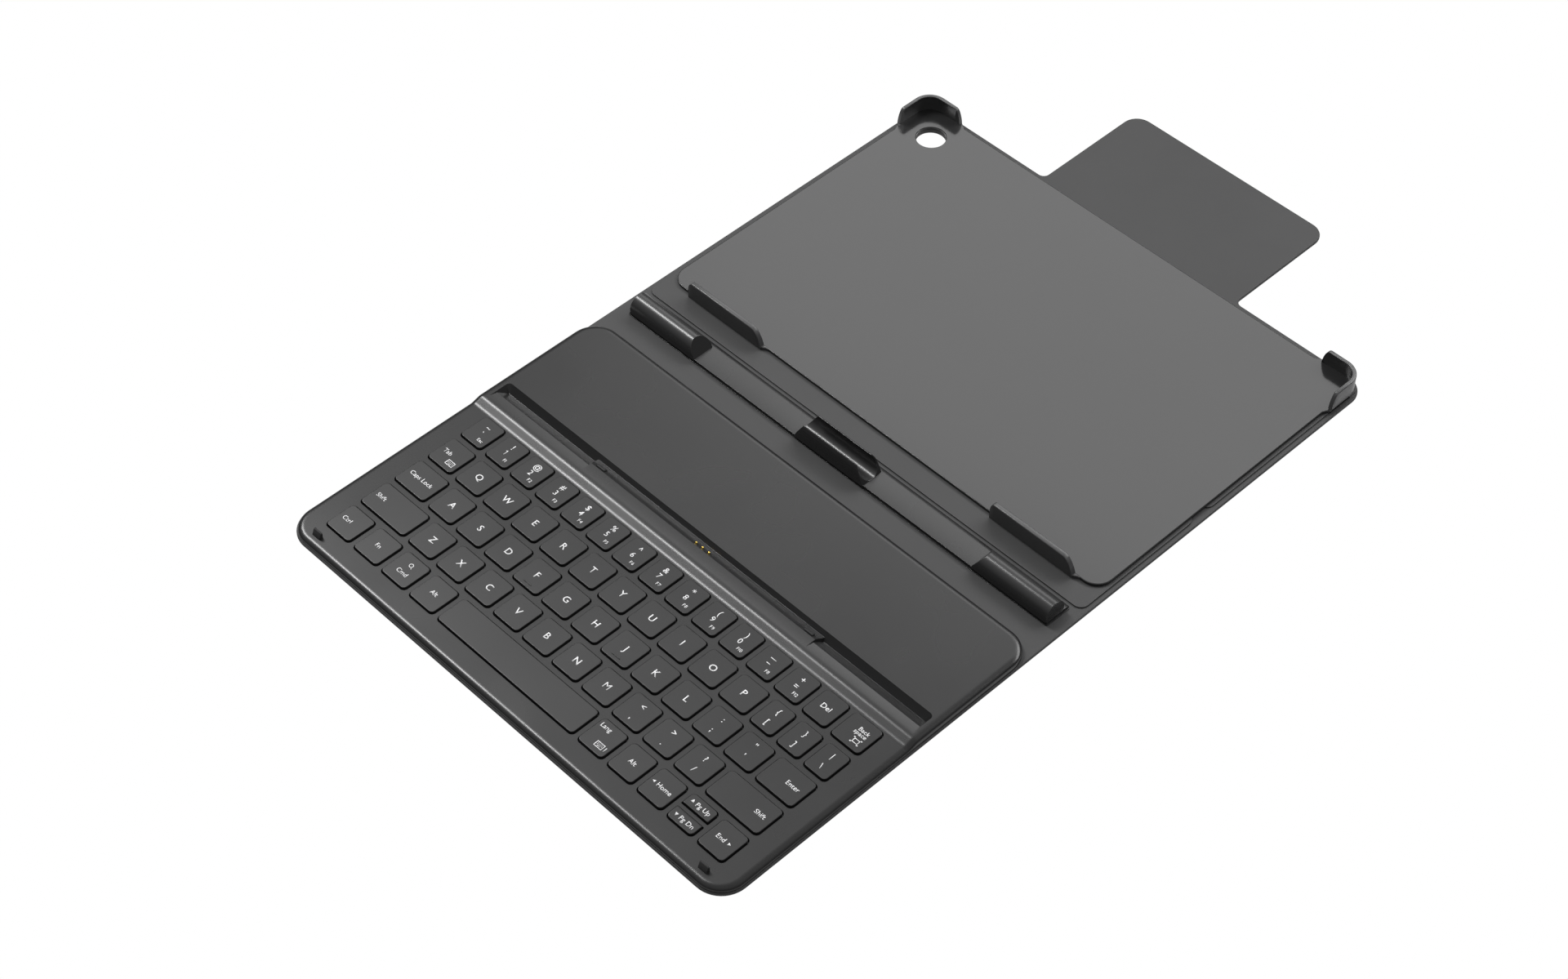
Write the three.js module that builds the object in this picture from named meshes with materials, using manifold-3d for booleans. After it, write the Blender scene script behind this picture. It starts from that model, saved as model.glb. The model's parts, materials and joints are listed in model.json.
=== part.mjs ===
// Tablet keyboard case: a folding folio with a thin keyboard, a spine that holds a pen, and a two-part back
// whose upper half carries the tablet tray and a closing flap. Drawn lying open and flat.
// Millimetres, +Z up. X runs along the keyboard, Y runs from its front edge to the flap.
// The origin is on the underside, in the middle of the keyboard half.
import * as THREE from 'three';
import * as BufferGeometryUtils from 'three/addons/utils/BufferGeometryUtils.js';
import Module from 'manifold-3d';

const wasm = await Module();
wasm.setup();

// ---------------------------------------------------------------- driving dimensions

const HALF_W = 127;                 // half the width of the cover
const MIDDLE_Y = 84;                // middle of the keyboard half, measured from its front edge
const SKIN_T = 1.5;                 // the folded outer skin

// Fold lines, measured from the keyboard's front edge.
const BASE_HINGE_Y = 179.75;        // keyboard half to spine
const BACK_HINGE_Y = 194.75;        // spine to lower back
const FOLD_Y = 267.5;               // lower back to upper back
const COVER_END_Y = 371.3;          // far edge of the upper back
const FLAP_HINGE_Y = 376;           // upper back to flap bridge
const TIP_HINGE_Y = 393.2;          // flap bridge to flap tip
const FLAP_END_Y = 433.4;
const HINGE_GAP = 0.3;              // each panel stops this far from a hinge that opens on its outer side
const FOLD_GAP = 1.0;               // the back fold bends the other way, so its panels stop further off

const FRONT_R = 12.6;               // plan radius of the keyboard half's front corners
const COVER_R = 10;                 // plan radius of the upper back's corners
const FLAP_HALF_W = 55.5;
const FLAP_R = 8;
const FLAP_FILLET_R = 3;

// Keyboard shell.
const SHELL_INSET = 0.6;            // the shell stands this far inside the skin's edge
const SHELL_REAR_Y = 167.5;
const SHELL_R = 12;
const SHELL_ROUND = 1.8;            // radius of the rolled top edge
const SHELL_Z0 = 1.55;
const DECK_Z = 3.7;                 // top of the shell around the keys
const REAR_Z = 5.1;                 // top of the shell behind the keys
const RAMP_FOOT_Y = 97.2;
const RAMP_TOP_Y = 103.4;

// Dock groove: two deep pockets for the tray's rails with a shallow stretch between them.
const GROOVE_HALF_W = 122.4;
const POCKET_INNER_X = 64;
const GROOVE_REAR_Y = 115.5;
const POCKET_FRONT_Y = 105;
const POCKET_LOW_Y = 112.75;
const POCKET_LOW_Z = 2.0;
const SHALLOW_FRONT_Y = 109.3;
const SHALLOW_LOW_Y = 113.8;
const SHALLOW_LOW_Z = 3.2;
const DOCK_LEAN = Math.atan2(REAR_Z - SHALLOW_LOW_Z, SHALLOW_LOW_Y - SHALLOW_FRONT_Y);
const TAB_X = 60;                   // locating tabs on the shallow stretch
const TAB_SIZE = [4.5, 1.6, 0.7];

// Keys.
const FIELD_HALF_W = 114.8;
const FIELD_FRONT_Y = 12.2;
const ROW_PITCH = 17.48;
const KEY_DEPTH = 14.2;
const KEY_W = 14.15;                // a letter key
const KEY_GAP = 3.05;
const KEY_R = 1.8;
const SQUARE_KEY_R = 0.35;
const KEY_TOP_Z = 4.6;
const KEY_SKIRT_Z = 2.8;
const KEY_CLEARANCE = 0.45;         // gap between a key and its opening
const ARROW_GAP = 2.6;              // between the two half-height keys
const WEB_T = 0.2;                  // thin strip that joins the keys of one bank under the deck
const WEB_W = 3;

// Layers under the keys, each a bottom and a top height.
const RECESS_Z = 0.7;               // floor of the recess in the skin that the lower shell sits in
const RECESS_RIM = 3;
const LOWER_SHELL_LAYER = [0.75, 1.05];
const SUPPORT_LAYER = [1.1, 1.25];
const MEMBRANE_LAYER = [1.28, 1.4];
const DOME_LAYER = [1.43, 1.55];
const DOME_TOP_Z = 1.75;
const DOME_R = 2.4;
const PLATE_Z0 = 3.05;              // underside of the deck between the keys

// Pogo contacts.
const PIN_COUNT = 3;
const PIN_PITCH = 3.7;
const PIN_Y = 110.5;
const PIN_R = 0.6;
const PIN_PROUD = 0.5;
const PIN_LENGTH = 2.6;
const PIN_CLEARANCE = 0.12;

// Pen holder on the spine.
const PEN_R = 4.84;                 // radius of the pen channel
const PEN_Y = 186;
const PEN_Z = 8;
const STRIP_FRONT_Y = 180.3;
const STRIP_REAR_Y = 194.1;
const STRIP_TOP_Z = 3.1;
const STRIP_HALF_W = 120.2;
const RIDGE_R = 5.4;
const RIDGE_TOP_Z = 9.9;
const RIDGE_INNER_X = 79.6;
const RIDGE_LEAN = 6;               // how far a leaning end face goes back over the ridge's height
const CLIP_HALF_W = 20;
const CLIP_TOP_Z = 11;
const CLIP_LEAN = 5;

// Back lining and tablet tray.
const LINING_T = 0.4;
const LINING_INSET = 2.1;
const LINING_FRONT_Y = 195.8;
const LINING_FOLD_GAP = 3.55;       // the lining stops this far from the fold line on each side
const LINING_REAR_Y = 369.2;
const TRAY_LAYER = [2.1, 3.4];
const TRAY_HALF_W = 123.4;
const TRAY_FRONT_Y = 207.1;
const TRAY_REAR_Y = 367.9;
const TRAY_R = 8;
const WALL_T = 1.25;
const RAIL_FRONT_Y = 205.4;
const RAIL_TOP_Z = 11;
const RAIL_LIP = 1.1;
const RAIL_STARTS = [-110, 66.5];
const RAIL_LENGTH = 44.5;
const RAIL_SLOPE = 5.5;             // the right end of a rail slopes down over this length
const HOOK_HALF_W = 125.4;
const HOOK_REAR_Y = 370;
const HOOK_TOP_Z = 11.2;
const HOOK_LENGTH = 20.8;
const HOOK_R = 9;
const HOOK_LIP = 0.7;
const HOLE_X = -107.9;              // camera opening
const HOLE_Y = 353.1;
const HOLE_R = 7.2;

// Posts at the keyboard's front corners, magnets and electronics.
const POST_X = 112.1;
const POST_SIZE = [4.6, 1.9];
const POST_Y = 5.6;
const POST_TOP_Z = 6.5;
const MAGNET_X = 30;
const MAGNET_SIZE = [20, 4, 1.1];
const BASE_MAGNET_Y = 5.5;
const FLAP_MAGNET_Y = TIP_HINGE_Y + BASE_MAGNET_Y + 1.5;
const DOCK_MAGNET_X = 62;
const MAGNET_Z0 = 1.2;
const DOCK_MAGNET_SIZE = [30, 8, 2.4];
const DOCK_MAGNET_Y = 154;
const FLAP_SKIN_T = 0.7;            // the flap tip's outer layer; its lining makes up the rest

// Spaces under the deck, and what lies in them.
const LAYERS_HALF_W = 118.5;
const LAYERS_Y = [9.4, 98.6];
const KEY_ROOM_HALF_W = 119;
const KEY_ROOM_Y = [9, 100];
const BOARD_ROOM_HALF_W = 118;
const BOARD_ROOM_Y = [118, 163];
const ROOF_T = 0.8;                 // thickness of the deck over the board
const MAGNET_ROOM_SIZE = [21, 4.6, 2.8];
const BLOCK_HALF_W = 7.6;           // the block that holds the contacts
const BLOCK_Y = [107.8, 112.6];
const BLOCK_Z = [1.15, 2.7];
const BLOCK_ROOM_GAP = 0.4;
const CABLE_Z = [1.6, 1.75];
const CABLE_SLOT_TOP_Z = 1.95;
const POGO_CABLE_X = [-4, 4];
const POGO_CABLE_Y = [112.9, 119.9];
const RIBBON_X = [30, 50];
const RIBBON_Y = [99.2, 119.9];
const BOARD_Z0 = 1.7;
const BOARD_T = 0.8;

const ROUND_STEPS = 3;              // facets in a quarter turn of a small radius
const LEFT_AND_RIGHT = [-1, 1];

// ---------------------------------------------------------------- materials

function finish(colour, roughness, metalness = 0) {
  return new THREE.MeshStandardMaterial({ color: colour, roughness, metalness });
}

const SKIN = finish('#4f4f50', 0.75);
const LINING = finish('#4d4d4e', 0.85);
const SHELL = finish('#4a4a4b', 0.5);
const KEYCAP = finish('#565657', 0.55);
const TRAY = finish('#6c6c6d', 0.45);
const RUBBER = finish('#232324', 0.7);
const DARK_PLASTIC = finish('#2c2c2d', 0.4);
const STEEL = finish('#9a9c9e', 0.35, 1);
const GOLD = finish('#d8b04a', 0.25, 1);
const MAGNET = finish('#8f9194', 0.3, 1);
const FILM = finish('#c9cfc9', 0.4);
const SILICONE = finish('#d9d9d6', 0.6);
const BOARD = finish('#1f5a35', 0.5);
const RIBBON = finish('#b06a2a', 0.45);

// ---------------------------------------------------------------- shapes and solids

function roundedRect(x0, y0, x1, y1, radii) {
  const [frontLeft, frontRight, rearRight, rearLeft] = Array.isArray(radii) ? radii : Array(4).fill(radii);
  const shape = new THREE.Shape();
  shape.moveTo(x0 + frontLeft, y0);
  corner(shape, x1 - frontRight, y0 + frontRight, frontRight, -Math.PI / 2);
  corner(shape, x1 - rearRight, y1 - rearRight, rearRight, 0);
  corner(shape, x0 + rearLeft, y1 - rearLeft, rearLeft, Math.PI / 2);
  corner(shape, x0 + frontLeft, y0 + frontLeft, frontLeft, Math.PI);
  return shape;
}

function corner(shape, cx, cy, radius, start) {
  if (radius > 0) {
    shape.absarc(cx, cy, radius, start, start + Math.PI / 2);
  } else {
    shape.lineTo(cx, cy);
  }
}

function straightExtrusion(shape, depth, steps) {
  return new THREE.ExtrudeGeometry(shape, { depth, bevelEnabled: false, curveSegments: steps });
}

// A flat shape in X and Y, raised from z0 to z1.
function slab(shape, z0, z1, steps = ROUND_STEPS) {
  return straightExtrusion(shape, z1 - z0, steps).translate(0, 0, z0);
}

// A rounded slab whose top edge is rolled over with the radius roll.
function rolledSlab(x0, y0, x1, y1, radius, z0, z1, roll) {
  const shape = roundedRect(x0 + roll, y0 + roll, x1 - roll, y1 - roll, radius - roll);
  const options = {
    depth: z1 - z0 - roll,
    bevelThickness: roll,
    bevelSize: roll,
    bevelSegments: ROUND_STEPS,
    curveSegments: ROUND_STEPS,
  };
  const rolled = new THREE.ExtrudeGeometry(shape, options).translate(0, 0, z0);
  const belowTheBottom = block([x0 - 1, x1 + 1], [y0 - 1, y1 + 1], [z0 - roll - 1, z0]);
  return cut(rolled, belowTheBottom);
}

function polygon(points) {
  return new THREE.Shape(points.map(([across, up]) => new THREE.Vector2(across, up)));
}

// An outline in Y and Z, drawn from x0 to x1.
function bar(outline, x0, x1, steps = ROUND_STEPS) {
  const shape = Array.isArray(outline) ? polygon(outline) : outline;
  const yzAlongX = new THREE.Matrix4().makeBasis(
    new THREE.Vector3(0, 1, 0),
    new THREE.Vector3(0, 0, 1),
    new THREE.Vector3(1, 0, 0),
  );
  return straightExtrusion(shape, x1 - x0, steps).applyMatrix4(yzAlongX).translate(x0, 0, 0);
}

function block([x0, x1], [y0, y1], [z0, z1]) {
  const geometry = new THREE.BoxGeometry(x1 - x0, y1 - y0, z1 - z0);
  return geometry.translate((x0 + x1) / 2, (y0 + y1) / 2, (z0 + z1) / 2);
}

function disc(x, y, radius, z0, z1, sides) {
  const geometry = new THREE.CylinderGeometry(radius, radius, z1 - z0, sides);
  return geometry.rotateX(Math.PI / 2).translate(x, y, (z0 + z1) / 2);
}

function toSolid(geometry) {
  const bare = geometry.clone();
  bare.deleteAttribute('normal');
  bare.deleteAttribute('uv');
  const merged = BufferGeometryUtils.mergeVertices(bare);
  const vertProperties = new Float32Array(merged.attributes.position.array);
  const triVerts = new Uint32Array(merged.index.array);
  return new wasm.Manifold(new wasm.Mesh({ numProp: 3, vertProperties, triVerts }));
}

function toGeometry(solid) {
  const mesh = solid.getMesh();
  const geometry = new THREE.BufferGeometry();
  geometry.setAttribute('position', new THREE.BufferAttribute(new Float32Array(mesh.vertProperties), 3));
  geometry.setIndex(new THREE.BufferAttribute(new Uint32Array(mesh.triVerts), 1));
  return geometry;
}

function cut(geometry, ...cutters) {
  return toGeometry(cutters.reduce((solid, cutter) => solid.subtract(toSolid(cutter)), toSolid(geometry)));
}

function join(geometry, ...others) {
  return toGeometry(others.reduce((solid, other) => solid.add(toSolid(other)), toSolid(geometry)));
}

const caseGroup = new THREE.Group();
caseGroup.position.set(0, -MIDDLE_Y, 0);

function addPiece(name, geometry, material) {
  const piece = new THREE.Mesh(geometry, material);
  piece.name = name;
  caseGroup.add(piece);
}

// Adds a left and a right piece, each made by one function of the side, -1 or +1.
function addPair(name, makeGeometry, material) {
  addPiece(`${name}_left`, makeGeometry(-1), material);
  addPiece(`${name}_right`, makeGeometry(1), material);
}

function boxAbout(x, y, z0, [width, depth, height]) {
  return block([x - width / 2, x + width / 2], [y - depth / 2, y + depth / 2], [z0, z0 + height]);
}

// ---------------------------------------------------------------- the outer skin, panel by panel

function keyboardSkin() {
  const outline = roundedRect(-HALF_W, 0, HALF_W, BASE_HINGE_Y - HINGE_GAP, [FRONT_R, FRONT_R, 0, 0]);
  const rim = RECESS_RIM;
  const recess = roundedRect(-HALF_W + rim, rim, HALF_W - rim, SHELL_REAR_Y - rim, SHELL_R - rim);
  return cut(slab(outline, 0, SKIN_T), slab(recess, RECESS_Z, SKIN_T + 1));
}

function spineSkin() {
  return block([-HALF_W, HALF_W], [BASE_HINGE_Y + HINGE_GAP, BACK_HINGE_Y - HINGE_GAP], [0, SKIN_T]);
}

function lowerBackSkin() {
  return block([-HALF_W, HALF_W], [BACK_HINGE_Y + HINGE_GAP, FOLD_Y - FOLD_GAP], [0, SKIN_T]);
}

function upperBackSkin() {
  const rootEnd = FLAP_HINGE_Y - HINGE_GAP;
  const filletX = FLAP_HALF_W + FLAP_FILLET_R;
  const filletY = COVER_END_Y + FLAP_FILLET_R;
  const shape = new THREE.Shape();
  shape.moveTo(-HALF_W, FOLD_Y + FOLD_GAP);
  shape.lineTo(HALF_W, FOLD_Y + FOLD_GAP);
  corner(shape, HALF_W - COVER_R, COVER_END_Y - COVER_R, COVER_R, 0);
  shape.lineTo(filletX, COVER_END_Y);
  shape.absarc(filletX, filletY, FLAP_FILLET_R, -Math.PI / 2, -Math.PI, true);
  shape.lineTo(FLAP_HALF_W, rootEnd);
  shape.lineTo(-FLAP_HALF_W, rootEnd);
  shape.absarc(-filletX, filletY, FLAP_FILLET_R, 0, -Math.PI / 2, true);
  corner(shape, -HALF_W + COVER_R, COVER_END_Y - COVER_R, COVER_R, Math.PI / 2);
  return cut(slab(shape, 0, SKIN_T), cameraHole());
}

function cameraHole() {
  return disc(HOLE_X, HOLE_Y, HOLE_R, -1, TRAY_LAYER[1] + 1, 24);
}

function flapBridge() {
  return block([-FLAP_HALF_W, FLAP_HALF_W], [FLAP_HINGE_Y + HINGE_GAP, TIP_HINGE_Y - HINGE_GAP], [0, SKIN_T]);
}

function flapTipOutline() {
  return roundedRect(-FLAP_HALF_W, TIP_HINGE_Y + HINGE_GAP, FLAP_HALF_W, FLAP_END_Y, [0, 0, FLAP_R, FLAP_R]);
}

// The inner layer of the flap tip, with two pockets in its underside for the closing magnets.
function flapLining() {
  const pocketRoom = 0.2;
  const [width, depth] = MAGNET_SIZE;
  const pocketSize = [width + pocketRoom, depth + pocketRoom, FLAP_SKIN_T + 0.5];
  const pockets = LEFT_AND_RIGHT.map((side) => boxAbout(side * MAGNET_X, FLAP_MAGNET_Y, 0, pocketSize));
  return cut(slab(flapTipOutline(), FLAP_SKIN_T + 0.05, SKIN_T), ...pockets);
}

function flapMagnet(side) {
  const [width, depth] = MAGNET_SIZE;
  const thickness = 0.35;
  return boxAbout(side * MAGNET_X, FLAP_MAGNET_Y, FLAP_SKIN_T + 0.1, [width, depth, thickness]);
}

// ---------------------------------------------------------------- back lining and tablet tray

function lining(y0, y1, radii) {
  const halfWidth = HALF_W - LINING_INSET;
  return slab(roundedRect(-halfWidth, y0, halfWidth, y1, radii), SKIN_T + 0.02, SKIN_T + LINING_T);
}

function lowerLining() {
  return lining(LINING_FRONT_Y, FOLD_Y - LINING_FOLD_GAP, [4, 4, 1.5, 1.5]);
}

function upperLining() {
  return cut(lining(FOLD_Y + LINING_FOLD_GAP, LINING_REAR_Y, [1.5, 1.5, 8, 8]), cameraHole());
}

// A rail stands along the tray's front edge and turns a small lip over the tablet.
function rail(xStart) {
  const [trayBottom, trayTop] = TRAY_LAYER;
  const wallBack = RAIL_FRONT_Y + WALL_T;
  const outline = [
    [RAIL_FRONT_Y, trayBottom],
    [TRAY_FRONT_Y + 1, trayBottom],
    [TRAY_FRONT_Y + 1, trayTop],
    [wallBack, trayTop],
    [wallBack, RAIL_TOP_Z - 0.8],
    [wallBack + RAIL_LIP, RAIL_TOP_Z - 0.5],
    [wallBack + RAIL_LIP, RAIL_TOP_Z],
    [RAIL_FRONT_Y + 0.5, RAIL_TOP_Z],
    [RAIL_FRONT_Y, RAIL_TOP_Z - 0.5],
  ];
  const xEnd = xStart + RAIL_LENGTH;
  const leftCorner = 1.5;
  const outsideLeft = frontPrism([
    [xStart - 1, RAIL_TOP_Z - leftCorner],
    [xStart, RAIL_TOP_Z - leftCorner],
    [xStart + leftCorner, RAIL_TOP_Z],
    [xStart + leftCorner, RAIL_TOP_Z + 1],
    [xStart - 1, RAIL_TOP_Z + 1],
  ]);
  const outsideRight = frontPrism([
    [xEnd, trayTop],
    [xEnd + 1, trayTop],
    [xEnd + 1, RAIL_TOP_Z + 1],
    [xEnd - RAIL_SLOPE, RAIL_TOP_Z + 1],
    [xEnd - RAIL_SLOPE, RAIL_TOP_Z],
    [xEnd - RAIL_SLOPE / 3, RAIL_TOP_Z - 3.5],
  ]);
  return cut(bar(outline, xStart, xEnd), outsideLeft, outsideRight);
}

// A cutter with an outline in X and Z that passes through a rail or hook from front to back.
function frontPrism(outline, y0 = RAIL_FRONT_Y - 1, y1 = TRAY_FRONT_Y + 3) {
  return straightExtrusion(polygon(outline), y1 - y0, 1).rotateX(Math.PI / 2).translate(0, y1, 0);
}

// A hook wraps one rear corner of the tablet and turns a small lip over it.
function hook(side) {
  const outer = HOOK_HALF_W;
  const [trayBottom] = TRAY_LAYER;
  const frontY = HOOK_REAR_Y - HOOK_LENGTH;
  const innerX = outer - HOOK_LENGTH;
  const inset = (distance) => roundedRect(
    innerX - 5, frontY - 5, outer - distance, HOOK_REAR_Y - distance, [0, 0, HOOK_R - distance, 0]);
  const solid = slab(inset(0), trayBottom, HOOK_TOP_Z);
  const bay = slab(inset(WALL_T), trayBottom - 1, HOOK_TOP_Z - 0.8);
  const mouth = slab(inset(WALL_T + HOOK_LIP), HOOK_TOP_Z - 1, HOOK_TOP_Z + 1);
  const outsideLeft = block([innerX - 10, innerX], [frontY - 10, HOOK_REAR_Y + 1], [0, HOOK_TOP_Z + 1]);
  const outsideFront = block([innerX - 10, outer + 1], [frontY - 10, frontY], [0, HOOK_TOP_Z + 1]);
  const endRise = 4;
  const endRun = 2.5;
  const sloped = frontPrism([
    [innerX - 1, HOOK_TOP_Z - endRise],
    [innerX, HOOK_TOP_Z - endRise],
    [innerX + endRun, HOOK_TOP_Z],
    [innerX + endRun, HOOK_TOP_Z + 1],
    [innerX - 1, HOOK_TOP_Z + 1],
  ], HOOK_REAR_Y - 4, HOOK_REAR_Y + 1);
  const slopedFront = bar([
    [frontY - 1, HOOK_TOP_Z - endRise],
    [frontY, HOOK_TOP_Z - endRise],
    [frontY + endRun, HOOK_TOP_Z],
    [frontY + endRun, HOOK_TOP_Z + 1],
    [frontY - 1, HOOK_TOP_Z + 1],
  ], outer - 4, outer + 1);
  const right = cut(solid, bay, mouth, outsideLeft, outsideFront, sloped, slopedFront);
  return side > 0 ? right : mirrorX(right);
}

function mirrorX(geometry) {
  return toGeometry(toSolid(geometry).mirror([1, 0, 0]));
}

// The plate under a hook reaches past the tray's own edge to carry the hook's wall.
function hookFoot(side) {
  const x0 = side > 0 ? HOOK_HALF_W - HOOK_LENGTH : -HOOK_HALF_W;
  const radii = side > 0 ? [0, 0, HOOK_R, 0] : [0, 0, 0, HOOK_R];
  const shape = roundedRect(x0, HOOK_REAR_Y - HOOK_LENGTH, x0 + HOOK_LENGTH, HOOK_REAR_Y, radii);
  return slab(shape, ...TRAY_LAYER);
}

function tabletTray() {
  const outline = roundedRect(-TRAY_HALF_W, TRAY_FRONT_Y, TRAY_HALF_W, TRAY_REAR_Y, [TRAY_R, TRAY_R, 6, 6]);
  const plate = slab(outline, ...TRAY_LAYER);
  const rails = RAIL_STARTS.map(rail);
  const whole = join(plate, hookFoot(-1), hookFoot(1), hook(-1), hook(1), ...rails);
  return cut(whole, cameraHole());
}

// ---------------------------------------------------------------- pen holder

// Half-round profile that stands on the strip, closed along the strip's top.
function ridgeOutline(topZ, radius) {
  const centreZ = topZ - radius;
  const shape = new THREE.Shape();
  shape.moveTo(PEN_Y - radius, STRIP_TOP_Z - 0.5);
  shape.lineTo(PEN_Y + radius, STRIP_TOP_Z - 0.5);
  shape.lineTo(PEN_Y + radius, centreZ);
  shape.absarc(PEN_Y, centreZ, radius, 0, Math.PI);
  return shape;
}

// Removes everything beyond a face that leans back over the ridge from its foot at x.
function leaningEnd(x, side, lean) {
  const height = CLIP_TOP_Z - STRIP_TOP_Z;
  const beyond = side * 30;
  const corners = [
    [x, STRIP_TOP_Z],
    [x - side * lean, STRIP_TOP_Z + height],
    [x - side * lean, CLIP_TOP_Z + 3],
    [x + beyond, CLIP_TOP_Z + 3],
    [x + beyond, STRIP_TOP_Z],
  ];
  return frontPrism(corners, STRIP_FRONT_Y - 3, STRIP_REAR_Y + 3);
}

function penRidge(side) {
  const outline = ridgeOutline(RIDGE_TOP_Z, RIDGE_R);
  const inner = side * RIDGE_INNER_X;
  const outer = side * (STRIP_HALF_W - 0.5);
  const ridge = bar(outline, Math.min(inner, outer), Math.max(inner, outer), 2 * ROUND_STEPS);
  return cut(ridge, leaningEnd(inner, -side, RIDGE_LEAN));
}

function penClip() {
  const outline = ridgeOutline(CLIP_TOP_Z + 1.4, RIDGE_R + 0.35);
  const body = bar(outline, -CLIP_HALF_W, CLIP_HALF_W, 2 * ROUND_STEPS);
  const channel = new THREE.Shape().absarc(PEN_Y, PEN_Z, PEN_R, 0, 2 * Math.PI);
  const pen = bar(channel, -CLIP_HALF_W - 1, CLIP_HALF_W + 1, 4 * ROUND_STEPS);
  const above = block([-CLIP_HALF_W - 1, CLIP_HALF_W + 1], [STRIP_FRONT_Y - 2, STRIP_REAR_Y + 2],
    [CLIP_TOP_Z, CLIP_TOP_Z + 5]);
  const ends = LEFT_AND_RIGHT.map((side) => leaningEnd(side * CLIP_HALF_W, side, CLIP_LEAN));
  return cut(body, pen, above, ...ends);
}

function penHolder() {
  const bottom = SKIN_T + 0.05;
  const strip = bar([
    [STRIP_FRONT_Y, bottom],
    [STRIP_REAR_Y, bottom],
    [STRIP_REAR_Y, bottom + 0.4],
    [PEN_Y + RIDGE_R, STRIP_TOP_Z],
    [PEN_Y - RIDGE_R, STRIP_TOP_Z],
    [STRIP_FRONT_Y, STRIP_TOP_Z - 0.3],
  ], -STRIP_HALF_W, STRIP_HALF_W);
  return join(strip, penRidge(-1), penRidge(1), penClip());
}

// ---------------------------------------------------------------- keys

function rowOf(row, names, widths) {
  const y0 = FIELD_FRONT_Y + row * ROW_PITCH;
  const fixed = widths.reduce((sum, width) => sum + (width ?? 0), 0);
  const spare = 2 * FIELD_HALF_W - fixed - KEY_GAP * (names.length - 1);
  const shares = widths.filter((width) => width === null).length;
  let x = -FIELD_HALF_W;
  return names.map((name, i) => {
    const width = widths[i] ?? spare / shares;
    const key = { name, x0: x, x1: x + width, y0, y1: y0 + KEY_DEPTH };
    x += width + KEY_GAP;
    return key;
  });
}

const letters = (text) => text.split('').map((letter) => `bank_${letter}`);
const repeated = (count, width) => Array(count).fill(width);

// Widths of null share what is left of the row.
function bottomRow() {
  const names = ['ctrl', 'fn', 'cmd', 'alt_left', 'space', 'lang', 'alt_right', 'home', 'page', 'end'];
  const rightKeyW = 13.34;
  const row = rowOf(0, names, [...repeated(4, KEY_W), null, ...repeated(5, rightKeyW)]);
  const page = row.find((key) => key.name === 'page');
  const half = (KEY_DEPTH - ARROW_GAP) / 2;
  const pageDown = { ...page, name: 'page_down', y1: page.y0 + half };
  const pageUp = { ...page, name: 'page_up', y0: page.y1 - half };
  return [...row.filter((key) => key !== page), pageDown, pageUp];
}

const keyRows = [
  bottomRow(),
  rowOf(1, ['shift_left', ...letters('zxcvbnmlgq'), 'shift_right'], [26.85, ...repeated(10, KEY_W), null]),
  rowOf(2, ['caps_lock', ...letters('asdfghjklcq'), 'enter'], [18.15, ...repeated(11, KEY_W), null]),
  rowOf(3, ['tab', ...letters('qwertyuiopbc'), 'backslash'], [...repeated(11, KEY_W), null, null, null]),
  rowOf(4, ['esc', ...letters('123456789mne'), 'del', 'backspace'], [...repeated(14, 12.3), null]),
];
const BANK_NAMES = [null, 'key_bank_lower', 'key_bank_home', 'key_bank_upper', 'key_bank_numbers'];

// The two half-height keys are square where they face each other.
function keyRadii(name) {
  const front = name === 'page_up' ? SQUARE_KEY_R : KEY_R;
  const rear = name === 'page_down' ? SQUARE_KEY_R : KEY_R;
  return [front, front, rear, rear];
}

function keyCap({ name, x0, x1, y0, y1 }) {
  return slab(roundedRect(x0, y0, x1, y1, keyRadii(name)), KEY_SKIRT_Z, KEY_TOP_Z, 1);
}

function keyOpening({ name, x0, x1, y0, y1 }) {
  const room = KEY_CLEARANCE;
  const shape = roundedRect(x0 - room, y0 - room, x1 + room, y1 + room, keyRadii(name));
  return slab(shape, PLATE_Z0 - 1, REAR_Z + 1, 1);
}

function keyBank(keys) {
  const middle = (keys[0].y0 + keys[0].y1) / 2;
  const web = block([keys[0].x0 + 2, keys.at(-1).x1 - 2], [middle - WEB_W / 2, middle + WEB_W / 2],
    [KEY_SKIRT_Z, KEY_SKIRT_Z + WEB_T]);
  return join(web, ...keys.map(keyCap));
}

function addKeys() {
  keyRows.forEach((keys, row) => {
    const banked = keys.filter((key) => key.name.startsWith('bank_'));
    const single = keys.filter((key) => !key.name.startsWith('bank_'));
    single.forEach((key) => addPiece(`key_${key.name}`, keyCap(key), KEYCAP));
    if (banked.length > 0) {
      addPiece(BANK_NAMES[row], keyBank(banked), KEYCAP);
    }
  });
}

// ---------------------------------------------------------------- keyboard shell and what it holds

// Everything in front of the ramp and above the deck around the keys.
function aboveTheDeck() {
  const sideways = HALF_W + 1;
  return bar([
    [-1, DECK_Z - 2],
    [RAMP_FOOT_Y - 4, DECK_Z - 2],
    [RAMP_FOOT_Y, DECK_Z],
    [RAMP_TOP_Y, REAR_Z],
    [RAMP_TOP_Y, REAR_Z + 1],
    [-1, REAR_Z + 1],
  ], -sideways, sideways);
}

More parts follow.
